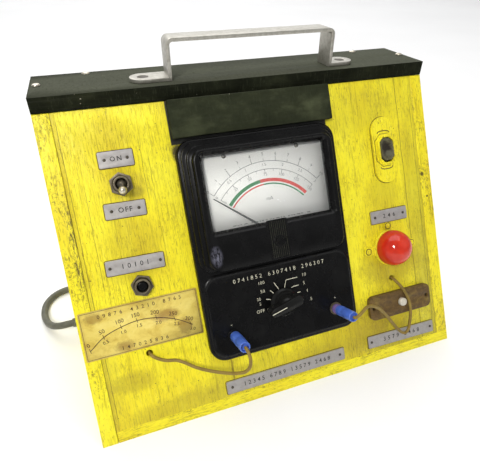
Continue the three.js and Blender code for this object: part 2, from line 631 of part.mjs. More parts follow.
// ---------------------------------------------------------------- mains cord
function buildCord() {
  const wallInside = sideBoard + gap;
  const relief = turned([
    [0, -wallInside - 2.6], [6.4, -wallInside - 2.6], [6.4, -wallInside], [reliefNeck, -wallInside],
    [reliefNeck, gap], [6.6, gap], [6.6, 2.6], [5.6, 3.4], [4, reliefReach], [0, reliefReach]], 20)
    .rotateY(-Math.PI / 2);
  addPiece(part, 'strain_relief', relief.translate(-caseWidth / 2, exitY, exitHeight), greyRubber);
  const startX = -caseWidth / 2 - reliefReach - gap;
  const floor = cordRadius + 0.1;
  const laid = [
    [startX, 1, exitHeight], [startX - 3, 1, exitHeight], [startX - 8, 1.8, exitHeight - 0.9],
    [-191.4, 4.8, 12.6], [-197.4, 10.8, 9],
    [-202.6, 19.6, 5.6], [-205.9, 30, 3.9], [-206.9, 41, floor], [-204.8, 51.4, floor],
    [-199, 59.8, floor], [-190.4, 65.2, floor], [-180, 67, floor], [-160, 67, floor],
    [-140, 67, floor], [coilX - 25, 67, floor + 0.4]]
    .map(([x, behind, z]) => new THREE.Vector3(x, slopeTopY + behind, z));
  addPiece(part, 'mains_cord', tube(laid, cordRadius, 8, 30), greyRubber);
  const inner = coilOuterRadius - 2 * coilColumns * cordRadius;
  const top = coilFloor + coilHeight;
  const coil = turnedRing([
    [inner, coilFloor + 1.5], [inner + 1.5, coilFloor], [coilOuterRadius - 1.5, coilFloor],
    [coilOuterRadius, coilFloor + 1.5], [coilOuterRadius, top - 3], [coilOuterRadius - 3, top],
    [inner + 3, top], [inner, top - 3]], 32);
  const spool = coil.translate(coilX, coilY, 0);
  addPiece(part, 'mains_cord_coil', spool, greyRubber);
  buildTie(inner, top);
  const tail = [
    [coilX + 25, cordLineY, 15.8], [coilX + 32, cordLineY + 0.7, 15], [coilX + 44, plugY - 2.2, 13.4],
    [plugStartX - 5, plugY, plugHeight], [plugStartX - gap, plugY, plugHeight]]
    .map((point) => new THREE.Vector3(...point));
  addPiece(part, 'mains_cord_tail', tube(tail, cordRadius, 8, 6), greyRubber);
  buildPlug();
}

// strap that holds the coil together, round its cross-section at the rear
function buildTie(inner, top) {
  const width = coilOuterRadius - inner + 4 * gap;
  const height = top - coilFloor + 2 * gap;
  const wall = 0.4;
  const outer = slab(width + 2 * wall, height + 2 * wall, 1.6, -4, 4, 2);
  const hole = slab(width, height, 1.2, -5, 5, 2);
  const loop = cut(outer, hole).rotateX(Math.PI / 2).rotateZ(Math.PI / 2);
  loop.translate(coilX, coilY + (coilOuterRadius + inner) / 2, coilFloor + (top - coilFloor) / 2);
  addPiece(part, 'cord_tie', loop, blackPaint);
}

function buildPlug() {
  const body = turned([
    [0, 0], [4, 0], [5, 12], [8, 14], [8.6, 24], [12.4, 27], [12.4, 38], [0, 38]], 24);
  const blade = (y) => block(-3.2, y - 0.8, 37, 3.2, y + 0.8, 55);
  const plug = join(body, blade(-6.4), blade(6.4)).rotateZ(Math.PI / 2).rotateY(Math.PI / 2);
  addPiece(part, 'mains_plug', plug.translate(plugStartX, plugY, plugHeight), greyRubber);
}

// ---------------------------------------------------------------- inside the case
function buildInside() {
  const floor = baseBoard + gap;
  const middleY = slopeTopY + 14;
  const core = cut(
    block(-32, -11, 0, 32, 11, 52), block(-21, -12, 11, -10.5, 12, 41), block(10.5, -12, 11, 21, 12, 41));
  addPiece(part, 'transformer_core', core.translate(0, middleY, floor), laminations);
  const winding = cut(
    block(-20.7, -20, 11.3, 20.7, 20, 40.7), block(-10.8, -11.3, 10, 10.8, 11.3, 42));
  addPiece(part, 'transformer_winding', winding.translate(0, middleY, floor), varnishedCopper);
  const barriers = Array.from({ length: 7 }, (_, i) => block(-35 + i * 11, -9, 4, -33 + i * 11, 9, 12));
  const strip = join(block(-40, -10, 0, 38, 10, 6), ...barriers);
  addPiece(part, 'terminal_strip', strip.translate(-95, slopeTopY + 22, floor), brownPhenolic);
}

buildCase();
buildFrontPanel();
buildHandle();
buildMeter();
buildLeads();
buildToggle();
buildReverse();
buildRocker();
buildLamp();
buildPush();
buildPlates();
buildCord();
buildInside();

export default part;
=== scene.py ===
"""Looks for the home-made bench tester: finishes, markings and smooth pieces round the CAD frame.

Metres, +Z up, the sloping front faces -Y. "Face" coordinates are millimetres across, down the
slope and out from it, measured from the middle of the slope's top edge.
"""
from math import cos, radians, sin, tau

import bpy
from mathutils import Matrix, Vector


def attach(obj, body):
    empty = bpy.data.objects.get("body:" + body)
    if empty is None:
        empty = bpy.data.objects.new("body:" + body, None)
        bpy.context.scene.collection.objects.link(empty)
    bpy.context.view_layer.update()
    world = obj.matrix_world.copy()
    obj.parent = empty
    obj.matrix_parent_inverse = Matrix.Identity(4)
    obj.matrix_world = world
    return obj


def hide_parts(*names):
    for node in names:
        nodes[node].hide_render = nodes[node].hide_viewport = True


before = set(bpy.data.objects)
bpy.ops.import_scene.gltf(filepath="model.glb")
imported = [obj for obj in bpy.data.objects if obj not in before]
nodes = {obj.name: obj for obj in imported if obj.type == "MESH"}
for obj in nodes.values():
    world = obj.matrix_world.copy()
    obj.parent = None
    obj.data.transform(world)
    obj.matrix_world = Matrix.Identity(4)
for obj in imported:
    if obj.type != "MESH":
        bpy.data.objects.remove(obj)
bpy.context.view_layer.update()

MM = 0.001
LEAN = radians(29.4)
SLOPE_TOP_Y = 38.3
CASE_HEIGHT = 250 * cos(LEAN)
LID_TOP = CASE_HEIGHT + 11.3
BACK_Y = SLOPE_TOP_Y + 57.5
HALF_WIDTH = 161.75
ACROSS, Y_AXIS, Z_AXIS = Vector((1, 0, 0)), Vector((0, 1, 0)), Vector((0, 0, 1))
DOWN = Vector((0, -sin(LEAN), -cos(LEAN)))
OUT = Vector((0, -cos(LEAN), sin(LEAN)))
FACE_AXES = (ACROSS, DOWN, OUT)
FACE_ORIGIN = Vector((0, SLOPE_TOP_Y, CASE_HEIGHT)) * MM

# places of the fittings, across and down the face
METER_X = -1.7
JACK_DOWN = 188.4
PLUG_LEFT, PLUG_RIGHT = METER_X - 46, METER_X + 46
SELECTOR = (METER_X, 171.5)
TOGGLE = (-111.5, 55.9)
ROCKER = (115, 61.3)
LAMP = (108.8, 148)
PUSH_PLATE = (111, 199.3)
PUSH_SCREW_SPREAD = 28.2
PAPER_MIDDLE = (-115.4, 162.7)


def face(x, down, out=0.0):
    """A point given across, down and out from the sloping front."""
    return FACE_ORIGIN + (ACROSS * x + DOWN * down + OUT * out) * MM


def face_matrix(x, down, out=0.0, turn=0.0):
    """Local x across, y up the slope, z outward, turned about z."""
    axes = Matrix((ACROSS, -DOWN, OUT)).transposed().to_4x4()
    return Matrix.Translation(face(x, down, out)) @ axes @ Matrix.Rotation(turn, 4, "Z")


def shift(x, y, z=0.0):
    """A move in millimetres."""
    return Matrix.Translation(Vector((x, y, z)) * MM)


def put(name, data):
    """A new object in the scene."""
    thing = bpy.data.objects.new(name, data)
    bpy.context.scene.collection.objects.link(thing)
    return thing


# --- camera
def make_camera():
    data = bpy.data.cameras.new("camera")
    data.lens = 31.27
    data.sensor_width = 36
    data.clip_start = 0.01
    camera = put("camera", data)
    forward = Vector((0.27245, 0.77176, -0.57459)).normalized()
    right = forward.cross(Vector((0.18785, 0.54302, 0.81844))).normalized()
    axes = Matrix((right, right.cross(forward), -forward)).transposed().to_4x4()
    camera.matrix_world = Matrix.Translation((-0.11891, -0.27316, 0.31775)) @ axes
    bpy.context.scene.camera = camera


make_camera()


# --- node helpers
class Look:
    """A procedural material under construction."""

    def __init__(self, name, axes=FACE_AXES, **sockets):
        self.material = bpy.data.materials.new(name)
        self.material.use_nodes = True
        self.tree = self.material.node_tree
        self.bsdf = self.tree.nodes["Principled BSDF"]
        self.axes = axes
        for key, value in sockets.items():
            self.bsdf.inputs[key.replace("_", " ")].default_value = value
        self.position = self.tree.nodes.new("ShaderNodeTexCoord").outputs["Object"]

    def link(self, source, target):
        if isinstance(source, (int, float)):
            target.default_value = source
        elif isinstance(source, (tuple, list)):
            target.default_value = (*source, 1) if len(source) == 3 and target.type == "RGBA" else source
        else:
            self.tree.links.new(source, target)

    def math(self, operation, a, b=0.0, clamp=False):
        node = self.tree.nodes.new("ShaderNodeMath")
        node.operation = operation
        node.use_clamp = clamp
        self.link(a, node.inputs[0])
        self.link(b, node.inputs[1])
        return node.outputs[0]

    def times(self, a, b):
        return self.math("MULTIPLY", a, b)

    def plus(self, a, b):
        return self.math("ADD", a, b)

    def minus(self, a, b):
        return self.math("SUBTRACT", a, b)

    def along(self, direction, origin=(0, 0, 0), size=1.0):
        """Distance along a direction from a point, in units of a size in millimetres."""
        move, dot = [self.tree.nodes.new("ShaderNodeVectorMath") for _ in range(2)]
        move.operation, dot.operation = "SUBTRACT", "DOT_PRODUCT"
        self.link(self.position, move.inputs[0])
        move.inputs[1].default_value = origin
        self.link(move.outputs[0], dot.inputs[0])
        dot.inputs[1].default_value = Vector(direction) * (1000.0 / size)
        return dot.outputs["Value"]

    def on_face(self):
        """Distances across and down the face."""
        return self.along(ACROSS), self.along(DOWN, FACE_ORIGIN)

    def noise(self, vector, scale, detail, rough=0.55, distortion=0.0):
        node = self.tree.nodes.new("ShaderNodeTexNoise")
        self.link(vector, node.inputs["Vector"])
        for key, value in zip(("Scale", "Detail", "Roughness", "Distortion"), (scale, detail, rough, distortion)):
            node.inputs[key].default_value = value
        return node.outputs[0]

    def field(self, sizes, detail=4, rough=0.55, distortion=0.0):
        """Noise whose features have these sizes in millimetres along the material's axes."""
        combine = self.tree.nodes.new("ShaderNodeCombineXYZ")
        for index, (direction, size) in enumerate(zip(self.axes, sizes)):
            self.link(self.along(direction, size=size), combine.inputs[index])
        return self.noise(combine.outputs[0], 1.0, detail, rough, distortion)

    def ramp(self, factor, *stops):
        """Each stop is a place and a grey level or a colour."""
        node = self.tree.nodes.new("ShaderNodeValToRGB")
        self.link(factor, node.inputs[0])
        ramp = node.color_ramp
        while len(ramp.elements) < len(stops):
            ramp.elements.new(0.5)
        for element, (place, value) in zip(ramp.elements, stops):
            element.position = place
            colour = (value, value, value) if isinstance(value, (int, float)) else value
            element.color = (*colour, 1)
        return node.outputs[0]

    def rise(self, factor, low, high, top=1.0):
        return self.ramp(factor, (low, 0.0), (high, top))

    def fall(self, factor, low, high):
        return self.ramp(factor, (low, 1.0), (high, 0.0))

    def stain(self, colour, tint, factor, amount=None, blend="MIX"):
        """The colour turned towards a tint by a factor, times an amount."""
        node = self.tree.nodes.new("ShaderNodeMix")
        node.data_type = "RGBA"
        node.blend_type = blend
        self.link(factor if amount is None else self.times(factor, amount), node.inputs[0])
        self.link(colour, node.inputs[6])
        self.link(tint, node.inputs[7])
        return node.outputs[2]

    def near(self, value, centre, half, soft):
        """1 where value is within half of centre, falling to 0 over soft."""
        off = self.math("ABSOLUTE", self.minus(value, centre))
        return self.minus(1.0, self.math("DIVIDE", self.minus(off, half), soft, clamp=True))

    def blot(self, colour, spot, at, size, tint, amount, ragged):
        """A tint round a place on the face, given the two face distances, with a ragged edge; it draws stains and
        also painted shade and painted highlights.
        """
        squares = []
        for value, middle, reach in zip(spot, at, size):
            share = self.math("DIVIDE", self.minus(value, middle), reach)
            squares.append(self.times(share, share))
        far = self.math("SQRT", self.plus(*squares))
        far = self.plus(far, self.times(self.minus(ragged, 0.5), 1.1))
        return self.stain(colour, tint, self.fall(far, 0.55, 1.0), amount)

    def finish(self, colour, rough=None, height=None, strength=0.0, distance=0.0):
        """Sets the colour, the roughness and a bump. A roughness of three is a field and its ends."""
        self.link(colour, self.bsdf.inputs["Base Color"])
        if isinstance(rough, tuple):
            factor, low, high = rough
            rough = self.ramp(factor, (0.3, low), (0.7, high))
        if rough is not None:
            self.link(rough, self.bsdf.inputs["Roughness"])
        if height is not None:
            node = self.tree.nodes.new("ShaderNodeBump")
            node.inputs["Strength"].default_value = strength
            node.inputs["Distance"].default_value = distance * MM
            self.link(height, node.inputs["Height"])
            self.link(node.outputs[0], self.bsdf.inputs["Normal"])
        return self.material


BROWN, OLIVE, BLACK = (0.2, 0.115, 0.02), (0.34, 0.26, 0.02), (0.02, 0.016, 0.012)
BAND_BLACK = (0.012, 0.012, 0.009)
# stains on the front, and among them a painted shadow: place, reach, tint and amount
STAINS_AND_PAINTED_SHADOW = (
    ((-111, 100), (26, 24), BROWN, 0.2), ((-104, 60), (16, 14), BROWN, 0.22), ((-131, 206), (22, 10), BROWN, 0.35),
    ((-113, 119), (34, 12), OLIVE, 0.25), ((-150, 200), (14, 40), BROWN, 0.16), ((108, 166), (36, 22), BROWN, 0.42),
    ((108, 205), (44, 24), BROWN, 0.34), ((112, 232), (44, 18), OLIVE, 0.35), ((78, 214), (26, 26), BROWN, 0.3),
    ((109, 100), (22, 20), OLIVE, 0.3), ((60, 222), (70, 18), BROWN, 0.28), ((-20, 228), (90, 14), BROWN, 0.2),
    ((-90, 236), (60, 12), BROWN, 0.26), ((140, 120), (12, 120), OLIVE, 0.3), ((92, 25), (50, 22), OLIVE, 0.22),
    # the black blot at (-101, 63), below right of the toggle, is a painted shadow of its lever
    ((-60, 214), (16, 14), BROWN, 0.22), ((-118, 20), (34, 14), BROWN, 0.14), ((-101, 63), (6, 5), BLACK, 0.35),
    # the near-black blot at (-66, 39) darkens the corner between the block over the meter and the bezel
    ((-66, 39), (5.5, 8.5), BLACK, 0.93))
# cracks down the front: across, top, bottom, half width and amount
CRACKS = (
    (-147.2, 10, 230, 0.22, 0.55), (-137.5, 60, 128, 0.16, 0.5), (-93.4, 30, 66, 0.14, 0.55),
    (-88.5, 40, 120, 0.12, 0.45), (-121.4, 88, 150, 0.12, 0.4), (133.2, 2, 248, 0.28, 0.55),
    (146.8, 20, 240, 0.2, 0.5), (88.5, 2, 30, 0.14, 0.4), (-52.5, 208, 224, 0.5, 0.55), (-24, 236, 249, 0.16, 0.5),
    (58, 208, 247, 0.12, 0.4))


def yellow_paint(name, axes, wear=1.0):
    """Old yellow gloss brushed on open-grained wood, with dark pores, cracks, dirt and chips."""
    look = Look(name, axes, Specular_IOR_Level=0.35)
    grain = look.field((0.95, 34, 2.4), rough=0.66, distortion=0.1)
    pores = look.field((0.5, 6.5, 1.2), 3, 0.62)
    cloud = look.field((42, 95, 42), 5, 0.6)
    patches = look.field((17, 26, 17), 6, 0.68, 0.4)
    fine = look.field((1.4, 2.0, 1.4), rough=0.75)
    specks = look.field((1.5, 1.9, 1.5), 2, 0.5)
    colour = look.ramp(
        cloud, (0.3, (0.78, 0.62, 0.012)), (0.5, (0.9, 0.78, 0.018)), (0.7, (0.95, 0.86, 0.034)))
    # thin brown lines where the grain has opened the paint, stronger inside the patches
    line = look.times(look.fall(grain, 0.385, 0.43), 0.7)
    line = look.math("MAXIMUM", line, look.fall(pores, 0.385, 0.435))
    dark = look.times(line, look.ramp(patches, (0.38, 0.35), (0.6, 1.0)))
    colour = look.stain(colour, (0.2, 0.12, 0.01), dark, 0.58 * wear)
    colour = look.stain(colour, (0.96, 0.9, 0.16), look.rise(grain, 0.56, 0.72, 0.45), 0.5)
    soil = look.times(look.rise(patches, 0.46, 0.72), look.rise(fine, 0.46, 0.6))
    colour = look.stain(colour, (0.33, 0.22, 0.02), soil, 0.42 * wear)
    colour = look.stain(colour, (0.055, 0.03, 0.012), look.fall(specks, 0.265, 0.3), 0.85)
    return look, colour, grain, dark, fine, patches


def finish_paint(look, colour, grain, dark, fine):
    height = look.minus(look.times(grain, 0.7), look.times(dark, 0.5))
    return look.finish(colour, (fine, 0.34, 0.56), look.plus(height, look.times(fine, 0.25)), 0.55, 0.35)


def panel_paint():
    look, colour, grain, dark, fine, patches = yellow_paint("yellow_paint_front", FACE_AXES)
    x, down = look.on_face()
    for at, size, tint, amount in STAINS_AND_PAINTED_SHADOW:
        colour = look.blot(colour, (x, down), at, size, tint, amount, fine)
    # the front turned near-black in a band round the block over the meter
    band = look.times(look.near(x, -4.2, 65.4, 0.7), look.near(down, 16.0, 16.6, 1.2))
    colour = look.stain(colour, BAND_BLACK, band)
    for centre, low, high, width, amount in CRACKS:
        drift = look.times(look.minus(patches, 0.5), 2.2)
        line = look.near(look.plus(x, drift), centre, width, width)
        line = look.times(line, look.near(down, (low + high) / 2, (high - low) / 2, 9))
        colour = look.stain(colour, (0.1, 0.055, 0.01), line, amount)
    # grime along the edges of the board
    rim = look.times(look.near(x, 0, 146.5, 4.5), look.near(down, 123.5, 121, 5))
    colour = look.stain(colour, BROWN, look.minus(1.0, rim), 0.42)
    return finish_paint(look, colour, grain, dark, fine)


def board_paint(name, axes, edges=(), cracked=False):
    """The same paint on the other boards, with nicked edges, and cuts on the sides' front edges."""
    look, colour, grain, dark, fine, patches = yellow_paint(name, axes, wear=1.15)
    for direction, origin, reach, amount in edges:
        near = look.near(look.along(direction, origin), 0.0, 0.2, reach)
        nick = look.times(near, look.rise(patches, 0.46, 0.58))
        nick = look.times(nick, look.rise(fine, 0.55, 0.64))
        colour = look.stain(colour, (0.07, 0.045, 0.02), nick, amount)
    if cracked:
        x, down = look.on_face()
        for at, size in (((152.4, 88), (2.4, 2.2)), ((155.5, 109), (1.3, 1.3))):
            colour = look.blot(colour, (x, down), at, size, (0.06, 0.035, 0.012), 0.9, fine)
        look.axes = FACE_AXES
        cuts = look.field((0.75, 5.0, 3.0), 3, 0.7)
        place = look.times(look.near(x, -151.4, 2.4, 1.6), look.near(down, 98, 26, 12))
        colour = look.stain(colour, (0.05, 0.03, 0.012), look.rise(cuts, 0.5, 0.56, 0.85), place)
    return finish_paint(look, colour, grain, dark, fine)


def black_paint(name, painted_light_scale):
    """Matt black brushed over wood, with dust and a painted sheen on its upward faces and small pale chips; the scale
    given lightens or darkens the whole copy as painted light and shade.
    """
    look = Look(name, (ACROSS, Z_AXIS, Y_AXIS), Specular_IOR_Level=0.05)
    grain = look.field((42, 1.6, 1.6), 5, 0.6)
    cloud = look.field((38, 24, 24), 5, 0.62)
    fine = look.field((2.6, 2.2, 2.2), rough=0.7)
    specks = look.field((3.0, 2.6, 2.6), 2, 0.5)
    streaks = look.field((1.3, 7.0, 7.0), rough=0.7)
    colour = look.ramp(
        cloud, (0.34, (0.006, 0.007, 0.004)), (0.55, (0.013, 0.015, 0.008)), (0.74, (0.03, 0.034, 0.018)))
    # painted light and shade: the whole colour scaled for the light that falls where this copy is used
    colour = look.stain(colour, (painted_light_scale, painted_light_scale, painted_light_scale), 1.0, blend="MULTIPLY")
    colour = look.stain(colour, (0.045, 0.048, 0.036), look.rise(grain, 0.55, 0.75, 0.25))
    geometry = look.tree.nodes.new("ShaderNodeNewGeometry")
    split = look.tree.nodes.new("ShaderNodeSeparateXYZ")
    look.link(geometry.outputs["Normal"], split.inputs[0])
    # upward faces turned grey-green: dust, and a painted sheen of the light from above
    dust = look.times(look.rise(split.outputs[2], 0.75, 0.97), look.ramp(fine, (0.25, 0.55), (0.75, 1.0)))
    colour = look.stain(colour, (0.11, 0.116, 0.084), dust, 0.85)
    colour = look.stain(colour, (0.04, 0.045, 0.026), look.rise(streaks, 0.54, 0.7, 0.55))
    colour = look.stain(colour, (0.34, 0.32, 0.24), look.fall(specks, 0.222, 0.242))
    return look.finish(colour, (fine, 0.76, 0.92), look.plus(grain, look.times(fine, 0.5)), 0.35, 0.3)


def moulding(name, base, gloss, dust, dust_tint=(0.16, 0.16, 0.13)):
    """Moulded phenolic: fine orange-peel, rubbed sheen, a little dust and a scrape low on the left."""
    look = Look(name, Specular_IOR_Level=0.17)
    peel = look.field((1.2, 1.2, 1.2), 2)
    haze = look.field((14, 18, 14), 6, 0.66, 0.3)
    scuff = look.field((0.9, 5.5, 0.9), rough=0.7)
    scraped = look.field((1.6, 4.0, 1.6), 5, 0.75)
    colour = look.ramp(haze, (0.35, base), (0.72, tuple(c * 1.5 + 0.001 for c in base)))
    film = look.times(look.rise(haze, 0.56, 0.84), look.rise(scuff, 0.5, 0.76))
    colour = look.stain(colour, dust_tint, film, dust)
    pale = look.blot(colour, look.on_face(), (-53.5, 121.0), (5.4, 9.5), (0.2, 0.2, 0.26), 0.8, scraped)
    colour = look.stain(colour, pale, look.rise(scraped, 0.42, 0.62))
    height = look.plus(look.times(peel, 0.6), look.times(scuff, 0.3))
    return look.finish(colour, look.plus(look.times(haze, 0.22), gloss - 0.08), height, 0.22, 0.12)


def rocker_moulding():
    """Black moulding rubbed olive on its rim with wear, with painted shade over the top of its dish and a grey
    painted highlight at its foot.
    """
    look = Look("rocker_moulding", Specular_IOR_Level=0.3)
    rub = look.field((2.4, 2.8, 2.4), 5, 0.7)
    spot = look.on_face()
    colour = look.ramp(rub, (0.32, (0.06, 0.055, 0.026)), (0.68, (0.135, 0.125, 0.065)))
    # painted shade over the upper part of the dish
    colour = look.blot(colour, spot, (114.6, 60.2), (5.6, 8.2), (0.016, 0.011, 0.006), 0.95, rub)
    # painted highlight low on the dish
    colour = look.blot(colour, spot, (116.2, 64.6), (4.2, 3.2), (0.15, 0.15, 0.1), 0.55, rub)
    return look.finish(colour, (rub, 0.28, 0.48), rub, 0.2, 0.2)


def metal(name, base, tint, rough, brushed=(30, 0.7, 0.7), amount=0.5, metallic=0.9):
    """Plated or bare metal with drawn lines, dull stains and bright rubbed places."""
    look = Look(name, Metallic=metallic)
    drawn = look.field(brushed, rough=0.6)
    spots = look.field((4.5, 4.5, 4.5), 6, 0.7)
    colour = look.stain(base, tint, look.rise(spots, 0.42, 0.68), amount)
    colour = look.stain(colour, tuple(min(1, c * 1.25) for c in base), drawn, 0.25)
    roughness = look.plus(look.times(spots, 0.3), rough - 0.1)
    return look.finish(colour, roughness, look.plus(drawn, look.times(spots, 0.5)), 0.2, 0.12)


def plain_plastic(name, base, gloss, mottle, size, **sockets):
    """Soft plastic or rubber: slight mottling, dirt in the low places and a fine bump."""
    look = Look(name, **sockets)
    soft = look.field((size, size, size), 5, 0.65)
    fine = look.field((size / 6, size / 6, size / 6), 3)
    colour = look.stain(base, tuple(c * 0.45 for c in base), look.rise(soft, 0.38, 0.72), mottle)
    return look.finish(colour, look.plus(look.times(soft, 0.25), gloss - 0.1), look.plus(fine, soft), 0.15, 0.1)


def phenolic():
    """Brown laminate: mottled, fibrous, smeared with old paint and dirt."""
    look = Look("brown_laminate", Specular_IOR_Level=0.4)
    mottled = look.field((7, 5, 5), 7, 0.72, 0.6)
    fibre = look.field((5, 0.8, 0.8), rough=0.6)
    smear = look.field((16, 11, 9), 6, 0.7, 0.5)
    colour = look.ramp(
        mottled, (0.3, (0.045, 0.026, 0.008)), (0.52, (0.125, 0.074, 0.018)), (0.74, (0.23, 0.145, 0.034)))
    colour = look.stain(colour, (0.1, 0.05, 0.018), fibre, 0.35)
    colour = look.stain(colour, (0.42, 0.31, 0.05), look.rise(smear, 0.56, 0.74, 0.38))
    return look.finish(colour, (mottled, 0.36, 0.6), look.plus(mottled, look.times(fibre, 0.6)), 0.4, 0.25)


def aged_paper():
    """Varnished paper gone tan, stained darker in clouds and along its edges."""
    look = Look("aged_paper", Specular_IOR_Level=0.3)
    cloud = look.field((16, 12, 10), 7, 0.66, 0.5)
    fleck = look.field((2.2, 2.2, 2.2), rough=0.7)
    colour = look.ramp(
        cloud, (0.3, (0.56, 0.38, 0.055)), (0.5, (0.76, 0.6, 0.13)), (0.72, (0.84, 0.7, 0.2)))
    colour = look.stain(colour, (0.24, 0.12, 0.03), look.rise(fleck, 0.6, 0.8, 0.6))
    x, down = look.on_face()
    inside = look.times(look.near(x, PAPER_MIDDLE[0], 41.5, 3.2), look.near(down, PAPER_MIDDLE[1], 15.8, 3.2))
    colour = look.stain(colour, (0.3, 0.16, 0.04), look.minus(1.0, inside), 0.4)
    for at, size in (((-131, 176), (9, 5)), ((-97, 160), (12, 6)), ((-84, 172), (7, 8)), ((-150, 150), (8, 5))):
        colour = look.blot(colour, (x, down), at, size, (0.22, 0.1, 0.02), 0.55, fleck)
    return look.finish(colour, (cloud, 0.4, 0.62), look.plus(cloud, look.times(fleck, 0.4)), 0.3, 0.25)


def dial_paint():
    """White enamel dial, faintly yellowed towards its rim."""
    look = Look("dial_white", Specular_IOR_Level=0.3)
    haze = look.field((30, 24, 20))
    grit = look.field((0.8, 0.8, 0.8), 3)
    colour = look.ramp(haze, (0.3, (0.9, 0.9, 0.85)), (0.7, (0.96, 0.96, 0.92)))
    colour = look.stain(colour, (0.55, 0.53, 0.45), look.rise(grit, 0.62, 0.85, 0.3))
    return look.finish(colour, (grit, 0.5, 0.62), grit, 0.05, 0.05)


def lens_plastic():
    """Deep orange-red moulded dome, very glossy, slightly cloudy inside, darker at its foot."""
    look = Look(
        "lens_red", Roughness=0.09, Coat_Weight=0.25, Coat_Roughness=0.04, Specular_IOR_Level=0.35,
        Subsurface_Weight=0.12, Subsurface_Radius=(0.004, 0.001, 0.0006), Subsurface_Scale=0.6)
    cloud = look.field((11, 11, 11), 3)
    scratch = look.field((6, 0.5, 0.8), 3)
    low = look.minus(1.0, look.math("DIVIDE", look.along(OUT, FACE_ORIGIN), 22.0, clamp=True))
    colour = look.ramp(cloud, (0.3, (0.52, 0.02, 0.008)), (0.7, (0.68, 0.04, 0.012)))
    colour = look.stain(colour, (0.42, 0.012, 0.008), low, 0.6)
    return look.finish(colour, None, scratch, 0.03, 0.05)


def clear_pane():
    look = Look("clear_glass", Roughness=0.03, Alpha=0.05, Specular_IOR_Level=0.4)
    smear = look.field((22, 9, 9), 5)
    colour = look.ramp(smear, (0.3, (0.8, 0.86, 0.84)), (0.7, (0.95, 0.97, 0.96)))
    return look.finish(colour, None, smear, 0.02, 0.2)


def ink(name, base):
    """Printing ink, a little uneven."""
    look = Look(name, Specular_IOR_Level=0.2)
    wear = look.field((1.3, 1.3, 1.3), 3)
    colour = look.ramp(wear, (0.42, base), (0.75, tuple(min(1.0, c + 0.07) for c in base)))
    return look.finish(colour, (wear, 0.5, 0.66))


# --- mesh helpers
class Sheet:
    """Gathers vertices and faces for one mesh."""

    def __init__(self):
        self.vertices, self.faces = [], []

    def add(self, vertices, faces):
        start = len(self.vertices)
        self.vertices += list(vertices)
        self.faces += [tuple(start + i for i in f) for f in faces]

    def loft(self, rings, first=True, last=True):
        """Joins closed rings of equal count; first and last say which ends are capped."""
        count = len(rings[0])
        faces = [
            (r * count + i, r * count + (i + 1) % count, (r + 1) * count + (i + 1) % count, (r + 1) * count + i)
            for r in range(len(rings) - 1) for i in range(count)]
        if first:
            faces.append(tuple(reversed(range(count))))
        if last:
            faces.append(tuple((len(rings) - 1) * count + i for i in range(count)))
        self.add([p for ring in rings for p in ring], faces)

    def lathe(self, profile, matrix, sides=48):
        """A closed solid turned about the matrix's z axis from (radius, height) pairs in millimetres."""
        circle = [(cos(tau * i / sides), sin(tau * i / sides)) for i in range(sides)]
        rings = []
        for radius, height in profile:
            radius = max(radius, 0.004)
            rings.append([matrix @ (Vector((radius * x, radius * y, height)) * MM) for x, y in circle])
        self.loft(rings)

    def prism(self, outline, low, high, matrix, chamfer):
        """An outline of (x, y) millimetres raised from low to high, its upper edge chamfered."""
        middle = Vector((sum(p[0] for p in outline), sum(p[1] for p in outline))) / len(outline)

        def ring(inset, z):
            points = []
            for point in outline:
                off = Vector(point) - middle
                off *= 1 - inset / max(off.length, 1e-6)
                points.append(matrix @ (Vector((*(middle + off), z)) * MM))
            return points
        heights = ((0, low), (0, high - chamfer), (chamfer * 0.35, high - chamfer * 0.35), (chamfer, high))
        self.loft([ring(*step) for step in heights])

    def band(self, points, width, matrix, lift):
        """A flat ribbon of a width along (x, y) points, lifted above the matrix's plane."""
        vertices = []
        for i, (x, y) in enumerate(points):
            way = (Vector(points[min(i + 1, len(points) - 1)]) - Vector(points[max(i - 1, 0)])).normalized()
            for reach in (width / 2, -width / 2):
                vertices.append(matrix @ (Vector((x - reach * way.y, y + reach * way.x, lift)) * MM))
        self.add(vertices, [(2 * i + 1, 2 * i + 3, 2 * i + 2, 2 * i) for i in range(len(points) - 1)])

    def text(self, words, height, matrix, thin=-0.012, spacing=1.0):
        """Flat lettering centred on the matrix's origin, height in millimetres."""
        curve = bpy.data.curves.new("lettering", "FONT")
        curve.body = words
        curve.size = height * 1.38 * MM
        curve.align_x, curve.align_y = "CENTER", "CENTER"
        curve.offset = thin * height * MM
        curve.space_character = spacing
        curve.resolution_u = 2
        holder = put("lettering", curve)
        shown = holder.evaluated_get(bpy.context.evaluated_depsgraph_get())
        mesh = shown.to_mesh()
        self.add([matrix @ v.co for v in mesh.vertices], [tuple(p.vertices) for p in mesh.polygons])
        shown.to_mesh_clear()
        bpy.data.objects.remove(holder)
        bpy.data.curves.remove(curve)

    def make(self, name, material, slot, body="case", angle=35):
        mesh = bpy.data.meshes.new(name)
        mesh.from_pydata([tuple(v) for v in self.vertices], [], self.faces)
        mesh.validate()
        mesh.shade_smooth()
        mesh.set_sharp_from_angle(angle=radians(angle))
        mesh.materials.append(material)
        thing = put(name, mesh)
        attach(thing, body)
        return thing


def rounded(width, height, corner, steps=6, middle=(0.0, 0.0)):
    """Points of a rounded rectangle, counter-clockwise from its right side."""
    points = []
    corner = min(corner, width / 2, height / 2)
    for sx, sy, turn in ((1, 1, 0), (-1, 1, 90), (-1, -1, 180), (1, -1, 270)):
        for i in range(steps + 1):
            a = radians(turn + 90 * i / steps)
            points.append((
                middle[0] + sx * (width / 2 - corner) + corner * cos(a),
                middle[1] + sy * (height / 2 - corner) + corner * sin(a)))
    return points


def octagon(width, length, chamfer):
    """An oblong with its corners cut off, counter-clockwise."""
    x, y = width / 2, length / 2
    return [
        (x, -y + chamfer), (x, y - chamfer), (x - chamfer, y), (-x + chamfer, y),
        (-x, y - chamfer), (-x, -y + chamfer), (-x + chamfer, -y), (x - chamfer, -y)]


